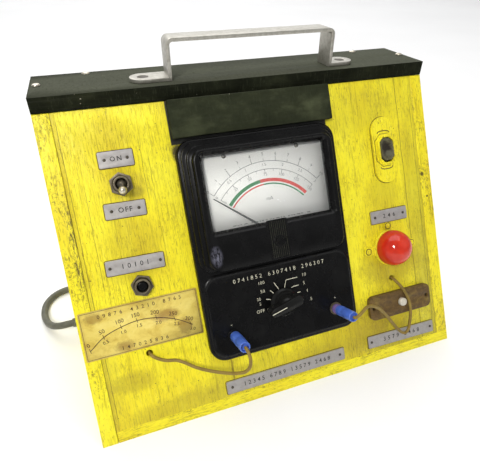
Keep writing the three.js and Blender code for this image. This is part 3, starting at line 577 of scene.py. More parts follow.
def catmull_rom(points, steps):
    """Centripetal curve through the points, in the same form as the frame's tubes."""
    points = [Vector(p) for p in points]
    padded = [points[0] * 2 - points[1], *points, points[-1] * 2 - points[-2]]
    line = []
    for p0, p1, p2, p3 in zip(padded, padded[1:], padded[2:], padded[3:]):
        d0, d1, d2 = ((b - a).length ** 0.5 or 1e-4 for a, b in ((p0, p1), (p1, p2), (p2, p3)))
        t1 = ((p1 - p0) / d0 - (p2 - p0) / (d0 + d1) + (p2 - p1) / d1) * d1
        t2 = ((p2 - p1) / d1 - (p3 - p1) / (d1 + d2) + (p3 - p2) / d2) * d1
        for i in range(steps):
            t = i / steps
            a, b = 2 * p1 - 2 * p2 + t1 + t2, -3 * p1 + 3 * p2 - 2 * t1 - t2
            line.append(a * t ** 3 + b * t ** 2 + t1 * t + p1)
    return [*line, points[-1]]


def round_cord(name, line, radius, material):
    """A smooth round cord along a line of points in metres."""
    curve = bpy.data.curves.new(name, "CURVE")
    curve.dimensions = "3D"
    curve.bevel_depth = radius * MM
    curve.bevel_resolution = 5
    curve.use_fill_caps = True
    spline = curve.splines.new("POLY")
    spline.points.add(len(line) - 1)
    for point, place in zip(spline.points, line):
        point.co = (*place, 1)
    spline.use_smooth = True
    curve.materials.append(material)
    thing = put(name, curve)
    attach(thing, "case")
    return thing


# --- finishes
cord_rubber = plain_plastic("cord_rubber", (0.115, 0.114, 0.08), 0.5, mottle=0.6, size=5)
lead_plastic = plain_plastic("lead_plastic", (0.27, 0.185, 0.036), 0.48, mottle=0.55, size=6, Specular_IOR_Level=0.3)
PANEL_PAINT = panel_paint()
BASE_TOP = (0, 0, 8 * MM)
SIDE_PAINT = board_paint(
    "yellow_paint_side", (OUT, DOWN, ACROSS), edges=((OUT, FACE_ORIGIN, 4.0, 0.6),), cracked=True)
BASE_PAINT = board_paint(
    "yellow_paint_base", (Z_AXIS, ACROSS, Y_AXIS),
    edges=((Z_AXIS, (0, 0, 0), 3.0, 0.7), (Z_AXIS, BASE_TOP, 1.6, 0.75)))
BACK_PAINT = board_paint(
    "yellow_paint_back", (ACROSS, Z_AXIS, Y_AXIS), edges=((Z_AXIS, BASE_TOP, 4.0, 0.5),))
STRAP_PAINT = board_paint("yellow_paint_strap", FACE_AXES)
# one black paint in two copies, painted darker on the lid and lighter on the block for the light that falls on them
BLACK_PAINT = black_paint("black_paint_lid", 0.8)
BLOCK_PAINT = black_paint("black_paint_block", 2.1)
CASE_MOULDING = moulding("black_moulding", (0.0032, 0.0032, 0.0032), 0.24, dust=0.1)
KNOB_MOULDING = moulding("knob_moulding", (0.008, 0.008, 0.0075), 0.2, dust=0.5, dust_tint=(0.2, 0.2, 0.19))
STEEL = metal("dull_steel", (0.17, 0.145, 0.1), (0.06, 0.045, 0.024), 0.42, amount=0.85, metallic=0.75)
BRIGHT_STEEL = metal("bright_steel", (0.6, 0.56, 0.46), (0.24, 0.19, 0.12), 0.28, amount=0.5)
DARK_STEEL = metal("dark_steel", (0.1, 0.09, 0.075), (0.05, 0.035, 0.02), 0.5, amount=0.6)
PLATE_METAL = metal(
    "plate_metal", (0.385, 0.365, 0.352), (0.23, 0.215, 0.19), 0.5, (26, 0.5, 0.5), amount=0.45, metallic=0.35)
HANDLE_METAL = metal(
    "handle_metal", (0.44, 0.425, 0.375), (0.19, 0.17, 0.13), 0.36, (34, 0.6, 0.6), amount=0.55, metallic=0.8)
LAMINATE = phenolic()
PAPER = aged_paper()
DIAL = dial_paint()
LENS = lens_plastic()
PANE = clear_pane()
BLUE = plain_plastic("blue_vinyl", (0.075, 0.165, 0.62), 0.3, mottle=0.3, size=4)
CLEAR_TIP = plain_plastic("violet_tip", (0.2, 0.13, 0.36), 0.22, mottle=0.4, size=3)
CREAM = plain_plastic("cream_plastic", (0.66, 0.62, 0.5), 0.3, mottle=0.45, size=4)
MAGNET = metal("magnet_iron", (0.05, 0.05, 0.055), (0.09, 0.04, 0.02), 0.55, amount=0.5)
WINDING = plain_plastic("winding_tape", (0.3, 0.13, 0.045), 0.4, mottle=0.6, size=3)
RIB_DUST = ink("rib_dust", (0.075, 0.078, 0.05))
BLACK_INK = ink("black_ink", (0.012, 0.012, 0.012))
GREY_INK = ink("grey_ink", (0.045, 0.045, 0.042))
STAMP_INK = ink("stamp_ink", (0.018, 0.018, 0.016))
GREEN_INK = ink("green_ink", (0.012, 0.19, 0.055))
RED_INK = ink("red_ink", (0.6, 0.045, 0.035))
CREAM_INK = ink("cream_ink", (0.72, 0.7, 0.54))
BROWN_INK = ink("brown_ink", (0.06, 0.025, 0.01))


# --- cords
CORD_RADIUS = 3.25
COIL_X = -95.0
CORD_LINE_Y = SLOPE_TOP_Y + 67
COIL_MIDDLE_RADIUS = 35.75
COIL_Y = CORD_LINE_Y + COIL_MIDDLE_RADIUS + 2 * CORD_RADIUS
PLUG_X = COIL_X + 60
PLUG_Y = BACK_Y + 17
PLUG_HEIGHT = 12.8


def mains_cord_line():
    """Out of the side, down to the floor, round behind the case, seven turns, up to the plug."""
    start = -HALF_WIDTH - 16.3
    floor = CORD_RADIUS + 0.1
    laid = [
        (start, 1, 16), (start - 3, 1, 16), (start - 8, 1.8, 15.1), (-191.4, 4.8, 12.6), (-197.4, 10.8, 9),
        (-202.6, 19.6, 5.6), (-205.9, 30, 3.9), (-206.9, 41, floor), (-204.8, 51.4, floor), (-199, 59.8, floor),
        (-190.4, 65.2, floor), (-180, 67, floor), (-160, 67, floor), (-140, 67, floor),
        (COIL_X - 22, 67, floor + 0.4)]
    route = catmull_rom([Vector((x, SLOPE_TOP_Y + y, z)) * MM for x, y, z in laid], 6)
    low = 0.8 + CORD_RADIUS
    pitch = 2 * CORD_RADIUS
    outer, inner = COIL_MIDDLE_RADIUS + pitch, COIL_MIDDLE_RADIUS - pitch
    lanes = [(outer, low), (COIL_MIDDLE_RADIUS, low), (inner, low), (inner, low + pitch),
             (COIL_MIDDLE_RADIUS, low + pitch), (outer, low + pitch), (outer, low + 2 * pitch)]
    per_turn = 40
    coil = []
    for turn, (radius, height) in enumerate(lanes):
        for i in range(per_turn):
            share = i / per_turn
            ease = 0.0
            if share > 0.8 and turn + 1 < len(lanes):
                t = (share - 0.8) / 0.2
                ease = t * t * (3 - 2 * t)
            after = lanes[min(turn + 1, len(lanes) - 1)]
            r = radius + (after[0] - radius) * ease
            z = height + (after[1] - height) * ease
            angle = -tau / 4 + tau * share
            coil.append(Vector((COIL_X + r * cos(angle), COIL_Y + r * sin(angle), z)) * MM)
    coil[0] = coil[0].lerp(coil[1], 0.2)
    top = low + 2 * pitch
    tail = [
        (COIL_X, CORD_LINE_Y, top), (COIL_X + 13, CORD_LINE_Y + 0.2, top - 0.3),
        (COIL_X + 25, CORD_LINE_Y + 0.4, 15.9), (COIL_X + 33, CORD_LINE_Y + 1.0, 14.9),
        (COIL_X + 44, PLUG_Y - 2.6, 13.4), (PLUG_X - 5, PLUG_Y, PLUG_HEIGHT), (PLUG_X + 1, PLUG_Y, PLUG_HEIGHT)]
    return route + coil + catmull_rom([Vector(p) * MM for p in tail], 5)


cord_line = mains_cord_line()
mains = round_cord("cord_visual", cord_line, CORD_RADIUS, cord_rubber)
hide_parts("mains_cord", "mains_cord_coil", "mains_cord_tail")

LEAD_RADIUS = 1.3
left_route = [
    (PLUG_LEFT, JACK_DOWN, 34.8), (PLUG_LEFT, JACK_DOWN, 36.6), (PLUG_LEFT + 0.3, JACK_DOWN + 1.6, 39.4),
    (-46.9, 194.4, 41.0),
    (-47.6, 201.2, 39.2), (-50.6, 206.4, 34.5), (-56, 208.6, 28.6), (-64.8, 208.3, 22), (-74.6, 206.2, 15.8),
    (-83.4, 203, 10.6), (-90.3, 198.8, 6.8), (-96.4, 196, 4.2), (-103.6, 194.6, 3), (-110, 191.2, 2.6),
    (-113.8, 188, 1.4), (-114.8, 186.6, -3), (-114.8, 186.5, -12)]
right_route = [
    (PLUG_RIGHT, JACK_DOWN, 34.8), (PLUG_RIGHT, JACK_DOWN, 36.4), (PLUG_RIGHT + 2, JACK_DOWN - 1.4, 38.4),
    (50.4, 184.6, 38.2),
    (58.2, 183.2, 34.2), (70.6, 188.6, 27.4), (82, 198.6, 20.4), (92.4, 210.6, 13.4), (101.8, 221.4, 7.6),
    (108.6, 228, 4.6), (113, 229.6, 3.6), (116.6, 226.6, 3.6), (118, 220.4, 4.4), (118.7, 212, 6.2),
    (118.8, 203.8, 6.6), (117.2, 195.2, 6.4), (113.8, 187.4, 6), (110.6, 181.4, 3.8), (108.3, 177.6, 1),
    (107.6, 176.6, -4), (107.6, 176.6, -12)]
for side, route in (("left", left_route), ("right", right_route)):
    line = catmull_rom([face(*p) for p in route], 6)
    lead = round_cord(f"lead_{side}_visual", line, LEAD_RADIUS, lead_plastic)
    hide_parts(f"test_lead_{side}")


# --- meter
METER_TOP, METER_WIDTH, METER_TALL = 30.8, 133.5, 177
BEZEL_TALL, CORNER = 104, 13
BEZEL_MIDDLE = METER_TOP + BEZEL_TALL / 2
RIB_STEP = 1.6
WINDOW_MIDDLE = 74.0


def build_meter_shell():
    """Stepped bezel, its window, the ribbed clamp and the lower panel, all one moulding."""
    sheet = Sheet()
    base = face_matrix(METER_X, 0)
    whole = -(METER_TOP + METER_TALL / 2)

    def ring(width, height, corner, middle, out, steps=8):
        return [base @ (Vector((x, y, out)) * MM) for x, y in rounded(width, height, corner, steps, (0, middle))]

    # skirt all round
    skirt = [(0, -1.0), (0, 3.6), (0.5, 4.5), (1.5, 5.0)]
    sheet.loft([ring(METER_WIDTH - 2 * i, METER_TALL - 2 * i, CORNER - i * 0.6, whole, h) for i, h in skirt])
    # ridges of the bezel, each a small rounded step
    profile = [
        (2.6, 4.6), (2.6, 7.7), (2.9, 8.3), (3.5, 8.5), (5.4, 8.5), (5.8, 8.7), (5.8, 11.3), (6.1, 11.8),
        (6.7, 12.0), (8.8, 12.0), (9.2, 12.3), (9.2, 15.6), (9.5, 16.4), (10.2, 16.9), (11.2, 17.0)]
    rings = [
        ring(METER_WIDTH - 2 * i, BEZEL_TALL - 1.2 * i, CORNER - i / 2, -BEZEL_MIDDLE - 0.4 * i, h)
        for i, h in profile]
    rings += [
        ring(107.4, 64.4, 4.0, -WINDOW_MIDDLE, 17.0), ring(106.4, 63.4, 3.6, -WINDOW_MIDDLE, 16.6),
        ring(101.6, 58.6, 1.6, -WINDOW_MIDDLE, 14.6), ring(100.2, 57.2, 1.2, -WINDOW_MIDDLE, 12.0)]
    sheet.loft(rings, first=False, last=False)
    # lower panel with its own rounded rim
    lower = -171.0
    rim = [(0, 4.6), (0, 4.9), (0.9, 5.9), (1.9, 6.1), (2.6, 5.6), (3.6, 5.3)]
    rings = [ring(129.4 - 2 * i, 68.4 - 2 * i, 11.5 - i * 0.5, lower, h) for i, h in rim]
    sheet.loft(rings, first=False)
    # ribbed clamp below the window, its ribs running down the slope
    for index in range(10):
        outline = rounded(1.05, 30.6, 0.5, 3, (-7.2 + RIB_STEP * index, -117))
        sheet.prism(outline, 16.6, 17.9, base, chamfer=0.4)
    sheet.prism(rounded(17.4, 31.4, 1.2, 4, (0, -117)), 16.5, 17.25, base, chamfer=0.2)
    collar = [(4.9, 16.8), (4.9, 17.9), (4.5, 18.1), (3.7, 18.1), (3.6, 17.0), (0, 17.0)]
    sheet.lathe(collar, base @ shift(0, -118.6), 36)
    grooves = Sheet()
    for index in range(9):
        x = -6.4 + RIB_STEP * index
        grooves.band([(x, -102.6), (x, -131.4)], 0.38, base, 17.3)
    grooves.make("rib_dust", RIB_DUST, "black_moulding")
    shell = sheet.make("meter_shell", CASE_MOULDING, "black_moulding", angle=40)
    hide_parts("meter_front")


build_meter_shell()

DIAL_LIFT = 7.2
DIAL_MIDDLE = (-1.4, 112.8)
SWEEP = radians(50)


def dial_point(radius, angle):
    return (radius * sin(angle), radius * cos(angle))


def arc_points(radius, start, end, steps=48):
    return [dial_point(radius, start + (end - start) * i / steps) for i in range(steps + 1)]


def build_dial():
    """Two ruled scales, two coloured bands and their numbers."""
    plane = face_matrix(DIAL_MIDDLE[0], DIAL_MIDDLE[1], DIAL_LIFT)
    black, grey, green, red = Sheet(), Sheet(), Sheet(), Sheet()
    for radius, outward, count, width in ((57.6, 3.2, 50, 0.38), (51.2, -2.2, 60, 0.34)):
        grey.band(arc_points(radius, -SWEEP, SWEEP), width, plane, 0.05)
        for i in range(count + 1):
            angle = -SWEEP + 2 * SWEEP * i / count
            if i % 5:
                continue
            share, thick = (0.8, 0.22) if i % 10 else (1.25, 0.32)
            ends = [dial_point(radius, angle), dial_point(radius + outward * share, angle)]
            black.band(ends, thick, plane, 0.06)
    split, near = radians(-7), radians(-4)
    green.band(arc_points(42.6, -SWEEP, split), 2.7, plane, 0.05)
    red.band(arc_points(42.6, split, SWEEP), 2.7, plane, 0.05)
    red.band(arc_points(39.6, -SWEEP, near), 1.1, plane, 0.05)
    green.band(arc_points(39.6, near, SWEEP), 1.1, plane, 0.05)

    def number(sheet, words, radius, angle, height):
        x, y = dial_point(radius, angle)
        sheet.text(words, height, plane @ shift(x, y, 0.07) @ Matrix.Rotation(-angle, 4, "Z"))

    for i in range(11):
        number(grey, str(i), 63.2, -SWEEP + 2 * SWEEP * i / 10, 2.6)
    for i in range(7):
        angle = -SWEEP + 2 * SWEEP * i / 6
        number(grey, f"{i * 0.5:g}", 54.9, angle, 2.3)
        number(grey, str(i * 25), 47.2, angle, 2.5)
    for i in range(9):
        number(red, "I", 36.6, radians(-40 + 3.4 * i), 1.2)
        number(green, "I", 36.8, radians(10 + 3.4 * i), 1.1)
    number(black, "mA", 28.0, 0.02, 3.0)
    for i in range(30):
        x = -34 + 2.3 * i + (0.8 if i % 4 == 0 else 0)
        if i % 7 != 6:
            grey.band([(x, 11.3), (x + 1.5, 11.3)], 0.45, plane, 0.05)
    for name, sheet, material in (
            ("dial_black", black, BLACK_INK), ("dial_grey", grey, GREY_INK),
            ("dial_green", green, GREEN_INK), ("dial_red", red, RED_INK)):
        sheet.make(name, material, "dial_card")
    screws = Sheet()
    for x, down in ((-33, 47.0), (28.4, 46.6)):
        screws.lathe([(1.7, 0), (1.7, 0.5), (1.2, 0.9), (0, 1.0)], face_matrix(x, down, DIAL_LIFT), 20)
    screws.make("dial_screws", DARK_STEEL, "dark_steel")


build_dial()


def build_legend():
    """Pointer marks and numbers round the selector, in cream."""
    plane = face_matrix(0, 0, 5.36)
    sheet = Sheet()
    for line in (
            [(-7.7, 153.7), (-4.2, 160.3)], [(-11.9, 159.3), (-8.2, 163.5)], [(-16.5, 165.8), (-12.0, 167.0)],
            [(-16.5, 174.1), (-13.3, 172.9)], [(0.9, 160.1), (3.1, 153.9), (13.4, 153.7)],
            [(6.9, 161.3), (9.2, 160.7), (13.6, 160.6)], [(11.6, 166.8), (14.4, 166.6)],
            [(11.4, 173.8), (14.6, 174.4)]):
        sheet.band([(x, -down) for x, down in line], 0.55, plane, 0.05)
    for words, x, down, height in (
            ("100", -18.6, 151.6, 2.3), ("50", -18.4, 158.8, 2.3), ("20", -22.6, 164.6, 2.1),
            ("5", -22.0, 168.6, 2.1), ("OFF", -22.6, 174.7, 2.4), ("10", 19.6, 152.9, 2.3), ("5", 18.6, 159.9, 2.3),
            ("1", 20.8, 167.1, 2.3), ("+", 45.2, 179.4, 2.0), ("-", -48.6, 179.2, 3.0), (".5", 22.8, 174.9, 2.3)):
        sheet.text(words, height * 1.2, plane @ shift(x, -down, 0.05), spacing=1.1)
    for i in range(22):
        if i % 8 != 7:
            sheet.text(str(i * 7 % 10), 3.5, plane @ shift(-40.5 + 3.75 * i, -145.6, 0.05))
    sheet.make("meter_legend", CREAM_INK, "black_moulding")


build_legend()


def build_knob():
    """Round skirt with a raised bar and a white pointer line."""
    at = face_matrix(*SELECTOR, turn=radians(104))
    sheet = Sheet()
    sheet.lathe([
        (10.6, 5.5), (11.9, 5.7), (12.0, 6.0), (12.0, 7.1), (11.6, 7.6), (10.4, 8.2), (9.6, 9.4), (9.2, 10.4),
        (0, 10.6)], at, 64)
    waist = [(x * (1 - 0.22 * max(0.0, (y - 3) / 14)), y) for x, y in rounded(9, 30, 4.4, 8, (0, 2))]
    sheet.prism(waist, 9.2, 19.4, at, chamfer=1.5)
    sheet.lathe([(7.6, 9.4), (7.0, 13.6), (5.6, 16.6), (3.4, 18.2), (0, 18.9)], at, 40)
    knob = sheet.make("selector_knob_visual", KNOB_MOULDING, "black_moulding", "selector", angle=42)
    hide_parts("selector_knob")
    line = Sheet()
    line.band([(0, 16.2), (0, 3.0)], 0.6, at, 19.48)
    line.make("selector_pointer", CREAM_INK, "black_moulding", "selector")


build_knob()


def build_plugs():
    for side, x in (("left", PLUG_LEFT), ("right", PLUG_RIGHT)):
        at = face_matrix(x, JACK_DOWN)
        sheet = Sheet()
        low = 7.6 if side == "left" else 12.0
        sheet.lathe([
            (3.5, low), (4.1, low + 0.2), (4.3, low + 0.8), (4.3, 20.0), (4.14, 20.4), (4.14, 20.9), (4.3, 21.3),
            (4.2, 33.4), (4.0, 34.1), (3.6, 34.4), (3.2, 34.2), (2.9, 31.0), (1.6, 30.6), (0, 30.6)], at, 48)
        plug = sheet.make(f"plug_{side}_visual", BLUE, "blue_plug")
        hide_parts(f"test_plug_{side}")
        pin = Sheet()
        pin.lathe([(1.9, -8.4), (1.9, low), (0, low + 0.4)], at, 24)
        if side == "right":
            pin.lathe([(3.4, 6.9), (4.1, 7.1), (4.2, 7.7), (4.2, 11.4), (3.8, 12.1), (0, 12.2)], at, 36)
        pin.make(f"plug_{side}_tip", CLEAR_TIP if side == "right" else STEEL, "plated_steel")


build_plugs()


# --- lamp, switches
EAR_TOP, STRAP_TOP = 1.8, 1.86
DOME_RADIUS, DOME_LIFT = 15.88, 5.9


def build_lamp():
    at = face_matrix(*LAMP)
    sheet = Sheet()
    dome = [
        (DOME_RADIUS * cos(radians(a)), DOME_LIFT + DOME_RADIUS * sin(radians(a))) for a in range(-6, 90, 4)]
    sheet.lathe([(12.7, 3.72), (15.1, 3.75), *dome, (0, DOME_RADIUS + DOME_LIFT)], at, 72)
    dome = sheet.make("lamp_dome", LENS, "amber_lens", angle=50)
    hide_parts("lamp_lens")
    screws, grime = Sheet(), Sheet()
    for x, y in ((-22.6, 0), (22.6, 0), (0, 19.6)):
        screws.lathe([(2.3, 1.9), (2.3, 2.3), (1.5, 2.9), (0, 3.0)], at @ shift(x, y), 24)
        ring = [(x + 2.7 * cos(a), y + 2.7 * sin(a)) for a in [tau * i / 24 for i in range(25)]]
        grime.band(ring, 0.7, at, EAR_TOP + 0.04)
    screws.make("lamp_screws", STRAP_PAINT, "yellow_paint_on_steel")
    grime.make("lamp_grime", BROWN_INK, "yellow_paint_on_steel")


def build_toggle():
    at = face_matrix(*TOGGLE, 2.5) @ Matrix.Rotation(radians(23), 4, "X")
    sheet = Sheet()
    sheet.lathe([
        (0, -3.1), (1.6, -2.8), (2.6, -2.0), (3.2, -0.6), (3.2, 0.6), (2.6, 1.9), (1.9, 3.0), (1.65, 4.2), (1.75, 6),
        (2.1, 8.4), (2.6, 10.4), (2.88, 11.6), (2.85, 12.6), (2.5, 13.6), (1.7, 14.4), (0.8, 14.74),
        (0, 14.8)], at, 40)
    lever = sheet.make("toggle_bat", BRIGHT_STEEL, "cream_lever", "toggle")
    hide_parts("toggle_lever")


def build_rocker():
    """Octagonal black insert with a dished face rubbed by wear, carrying painted shade and a painted highlight."""
    at = face_matrix(*ROCKER, -1) @ Matrix.Rotation(radians(-5), 4, "X")
    corners = octagon(12.8, 19.6, 3.6)
    outline = [
        (a[0] + (b[0] - a[0]) * i / 6, a[1] + (b[1] - a[1]) * i / 6)
        for a, b in zip(corners, corners[1:] + corners[:1]) for i in range(6)]

    def ring(share, height=None):
        points = []
        for x, y in outline:
            x, y = x * share, y * share
            out = height if height is not None else 5.35 + 0.9 * ((x / 6.4) ** 2 + (y / 9.8) ** 2)
            points.append(at @ (Vector((x, y, out)) * MM))
        return points
    sheet = Sheet()
    rings = [ring(1, -4), ring(1, 6.1), ring(0.97, 6.5), ring(0.9, 6.58), ring(0.84, 6.4), ring(0.79)]
    rings += [ring(s) for s in (0.68, 0.54, 0.4, 0.26, 0.12, 0.02)]
    sheet.loft(rings)
    rocker = sheet.make("rocker_insert", rocker_moulding(), "black_moulding", "rocker", angle=24)
    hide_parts("rocker_paddle")
    marks = Sheet()
    plane = face_matrix(*ROCKER)
    arch = [(-6.2, 14.6), (-5.4, 15.9), (-2.4, 16.6), (2.4, 16.6), (5.4, 15.9), (6.2, 14.6)]
    for sign in (1, -1):
        marks.band([(x, sign * y) for x, y in arch], 0.8, plane, STRAP_TOP)
    # painted shadow lines round the strap on the front and round the foot of its collar
    for edge, lift in ((rounded(24.0, 58.1, 11.9, 12), 0.06), (octagon(19.2, 28.2, 5.7), STRAP_TOP)):
        marks.band([*edge, edge[0]], 0.45, plane, lift)
    marks.make("strap_marks_and_painted_shadow", BROWN_INK, "yellow_paint_on_steel")
    screws = Sheet()
    for y in (-24.5, 24.5):
        screws.lathe([(1.8, 0.4), (2.6, 1.85), (2.6, 2.1), (1.6, 2.9), (0, 3.1)], plane @ shift(0, y), 24)
    screws.make("strap_screws", STRAP_PAINT, "yellow_paint_on_steel")


def build_push_screws():
    screws = Sheet()
    for side in (-PUSH_SCREW_SPREAD, PUSH_SCREW_SPREAD):
        at = face_matrix(PUSH_PLATE[0] + side, PUSH_PLATE[1])
        screws.lathe([(1.7, -6), (1.7, 2.0), (0, 2.2)], at, 20)
    screws.make("push_plate_screws", DARK_STEEL, "dark_steel")


build_lamp()
build_toggle()
build_rocker()
build_push_screws()


# --- stamped plates
# middle across and down, width, height, tilt in degrees, pin inset, digits, their height and spacing
PLATES = (
    (-111.8, 37.2, 25.0, 11.8, 0, 4.3, "ON", 3.6, 1.35),
    (-112, 74.7, 29.8, 11.3, -1, 5, "OFF", 3.9, 1.2),
    (-112.4, 116.2, 43.2, 11.3, -1, 3, "1 0 1 0 1", 3.8, 1.1),
    (111.8, 119.2, 37.2, 11, 0, 4, "2 4 6", 3.8, 1.2),
    (110.1, 231.2, 70.8, 10.8, -1, 3.4, "3 5 7 9   2 4 6 8", 3.9, 1.1),
    (-5.4, 232.7, 109.5, 10.6, 0, 4.6, "1 2 3 4 5   6 7 8 9   1 3 5 7 9   2 4 6 8", 3.7, 1.02),
)
PLATE_TOP = 1.13


def build_plate_marks():
    stamps, pins, dirt = Sheet(), Sheet(), Sheet()
    for x, down, width, tall, tilt, inset, words, height, spacing in PLATES:
        at = face_matrix(x, down, 0, radians(tilt))
        # a painted shadow line round the foot of each plate, drawn by the dirt sheet
        edge = rounded(width + 0.7, tall + 0.7, 1.2, 3)
        dirt.band([*edge, edge[0]], 0.5, at, 0.05)
        stamps.text(words, height, at @ shift(0, 0, PLATE_TOP), thin=0.012, spacing=spacing)
        for sign in (-1, 1):
            place = at @ shift(sign * (width / 2 - inset), 0)
            pins.lathe([(1.15, 0.35), (1.15, 1.3), (0.8, 1.55), (0, 1.6)], place, 16)
    stamps.make("plate_stamps", STAMP_INK, "label_metal")
    pins.make("plate_pins", DARK_STEEL, "dark_steel")
    dirt.make("plate_painted_shadow", BROWN_INK, "yellow_paint_on_wood")


build_plate_marks()


def build_paper_marks():
    """A hand-drawn arc scale, two rows of numbers and ticks."""
    plane = face_matrix(0, 0, 0.62)
    sheet = Sheet()
    arc = [
        (-156, 173.4), (-145, 165.4), (-131.4, 160.8), (-117.5, 158.8), (-103, 160.6), (-89.7, 165.4), (-78.3, 172.5)]
    line = [(p.x, -p.y) for p in catmull_rom([Vector((x, y, 0)) for x, y in arc], 8)]
    sheet.band(line, 0.6, plane, 0.03)
    last = len(line) - 1
    for i in range(7):
        x, y = line[round(last * 0.163 * i)]
        tilt = Matrix.Rotation(radians(19 - 6.2 * i), 4, "Z")
        sheet.band([(x + 0.3, y - 1.6), (x - 0.4, y + 2.0)], 0.45, plane, 0.03)
        sheet.text(str(50 * i), 3.2, plane @ shift(x - 0.6, y + 4.4, 0.03) @ tilt, thin=0.01)
        sheet.text(f"{i / 2:.1f}" if i else "", 2.7, plane @ shift(x + 0.9, y - 4.2, 0.03) @ tilt, thin=0.01)
    for i in range(16):
        if i not in (5, 11):
            place = plane @ shift(-146 + 4.1 * i, -149.5 + 0.06 * i, 0.03)
            sheet.text("0369258147"[(i * 3) % 10], 3.0, place, thin=0.01)
    for i in range(9):
        sheet.text("1470258369"[i], 3.0, plane @ shift(-133 + 4.2 * i, -177.2, 0.03), thin=0.01)
    border = rounded(87.2, 35.4, 0.5, 2, (PAPER_MIDDLE[0], -PAPER_MIDDLE[1]))
    sheet.band([*border, border[0]], 0.3, plane, 0.02)
    sheet.make("paper_marks", BROWN_INK, "aged_paper")


build_paper_marks()


# --- small screws of the case
def build_case_screws():
    sheet = Sheet()
    for x in (-121.0, 122.5):
        at = shift(x, BACK_Y - 4.75, LID_TOP)
        sheet.lathe([(3.1, 0.0), (3.1, 0.25), (2.5, 1.05), (1.4, 1.45), (0, 1.5)], at, 32)
    sheet.make("lid_screws_rear", BRIGHT_STEEL, "plated_steel")
    flush = Sheet()
    turned_back = Matrix.Rotation(radians(-90), 4, "X")
    for x in (-140, 0, 140):
        for z in (20, 205):
            at = shift(x, BACK_Y - 0.25, z) @ turned_back
            flush.lathe([(3.2, -0.6), (3.2, 0.45), (2.9, 0.65), (0, 0.65)], at, 28)
    flush.make("back_screws", DARK_STEEL, "dark_steel")


build_case_screws()


# --- finishes on the CAD nodes
# finish, softness of the edges in millimetres, and the nodes that take them
FINISHES = (
    (PANEL_PAINT, 0.5, "front_panel"),
    (SIDE_PAINT, 0.6, "left_side_board right_side_board"),
    (BASE_PAINT, 0.6, "bottom_board"),
    (BACK_PAINT, 0.5, "back_panel"),
    (BLACK_PAINT, 1.1, "lid"),
    (BLOCK_PAINT, 0.8, "meter_top_block"),
    (CASE_MOULDING, 1.0, "meter_rear_case"),
    (PANE, 0.0, "meter_window lamp_bulb"),
    (DIAL, 0.0, "meter_dial"),
    (MAGNET, 0.6, "meter_magnet"),
    (BLACK_INK, 0.0, "meter_needle"),
    (CASE_MOULDING, 0.2, "zero_adjust_screw jack_left"),
    (LAMINATE, 0.3, "selector_switch"),
    (STEEL, 0.2, "jack_right"),
    (STEEL, 0.25, "toggle_switch reverse_switch"),
    (STEEL, 0.45, "toggle_nut reverse_nut"),
    (CASE_MOULDING, 0.4, "reverse_button"),
    (STRAP_PAINT, 0.35, "rocker_strap"),
    (LAMINATE, 0.5, "rocker_switch push_plate"),
    (STRAP_PAINT, 0.2, "lamp_ring"),
    (LAMINATE, 0.4, "lamp_socket push_contacts terminal_strip"),
    (CREAM, 0.3, "push_button"),
    (PLATE_METAL, 0.18, "plate_on plate_off plate_reverse plate_lamp plate_push plate_long"),
    (PAPER, 0.0, "paper_scale"),
    (BRIGHT_STEEL, 0.15, "lid_screw_left lid_screw_right"),
    (HANDLE_METAL, 0.5, "carry_handle"),
    (DARK_STEEL, 0.2, "handle_screw_left handle_screw_right"),
    (cord_rubber, 0.4, "strain_relief"),
    (KNOB_MOULDING, 0.2, "cord_tie"),
    (cord_rubber, 0.7, "mains_plug"),
    (MAGNET, 0.5, "transformer_core"),
    (WINDING, 0.6, "transformer_winding"),
)


def dress(name, material, width):
    """Gives a CAD node its finish and softens its edges."""
    node = nodes[name]
    mesh = node.data
    mesh.materials.clear()
    mesh.materials.append(material)
    mesh.shade_smooth()
    weld = node.modifiers.new("weld", "WELD")
    weld.merge_threshold = 0.00001
    if width:
        flat = node.modifiers.new("flat", "DECIMATE")
        flat.decimate_type = "DISSOLVE"
        flat.angle_limit = radians(2)
        bevel = node.modifiers.new("bevel", "BEVEL")
        bevel.width = width * MM
        bevel.segments = 3
        bevel.limit_method = "ANGLE"
        bevel.angle_limit = radians(32)
        bevel.harden_normals = True
        bevel.use_clamp_overlap = True


for finish, softness, pieces in FINISHES:
    for piece in pieces.split():
        dress(piece, finish, softness)


# --- stage and light
FLOOR_REACH = 4


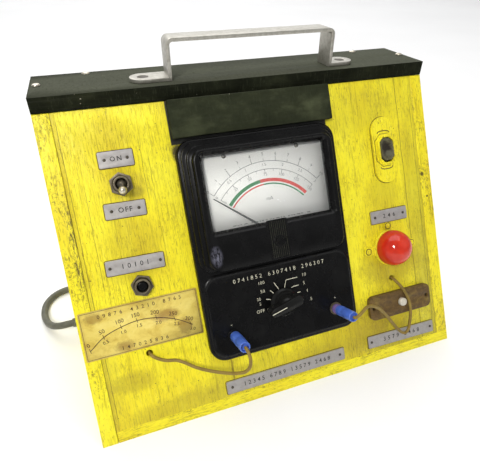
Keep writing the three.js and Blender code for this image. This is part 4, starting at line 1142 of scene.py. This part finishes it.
def build_stage():
    mesh = bpy.data.meshes.new("floor")
    corners = [(-1, -1), (1, -1), (1, 1), (-1, 1)]
    mesh.from_pydata([(FLOOR_REACH * x, FLOOR_REACH * y, 0) for x, y in corners], [], [(0, 1, 2, 3)])
    floor = put("floor", mesh)
    look = Look("floor_pale", Roughness=0.6, Specular_IOR_Level=0.2)
    haze = look.noise(look.position, scale=3.0, detail=2)
    colour = look.ramp(haze, (0.3, (0.93, 0.93, 0.925)), (0.7, (0.96, 0.96, 0.955)))
    mesh.materials.append(look.finish(colour))
    world = bpy.data.worlds.new("studio")
    world.use_nodes = True
    tree = world.node_tree
    facing = tree.nodes.new("ShaderNodeSeparateXYZ")
    tree.links.new(tree.nodes.new("ShaderNodeTexCoord").outputs["Generated"], facing.inputs[0])
    shade = tree.nodes.new("ShaderNodeValToRGB")
    tree.links.new(facing.outputs[1], shade.inputs[0])
    stops = ((0.35, (0.33, 0.33, 0.34, 1)), (0.85, (1.12, 1.12, 1.12, 1)))
    for element, (place, grey) in zip(shade.color_ramp.elements, stops):
        element.position, element.color = place, grey
    tree.links.new(shade.outputs[0], tree.nodes["Background"].inputs[0])
    bpy.context.scene.world = world
    bpy.context.scene.view_settings.view_transform = "Standard"


def area_light(name, place, target, size, energy, colour=(1, 1, 1)):
    data = bpy.data.lights.new(name, "AREA")
    data.shape = "RECTANGLE"
    data.size, data.size_y = size
    data.energy = energy
    data.color = colour
    lamp = put(name, data)
    lamp.location = place
    lamp.rotation_mode = "QUATERNION"
    lamp.rotation_quaternion = (Vector(target) - Vector(place)).to_track_quat("-Z", "Y")


build_stage()
area_light("key", (-0.55, -0.75, 0.95), (0, 0, 0.12), (0.22, 0.22), 8.8, (1.0, 0.985, 0.95))
area_light("fill", (0.9, -0.7, 0.9), (0, 0, 0.1), (0.9, 0.9), 0.8, (0.96, 0.98, 1.0))
area_light("top", (0.1, 0.55, 2.3), (0, 0.35, 0), (2.6, 1.6), 24.0)
area_light("behind", (0.4, 3.4, 3.2), (0.3, 2.4, 0), (4.0, 2.4), 70.0)
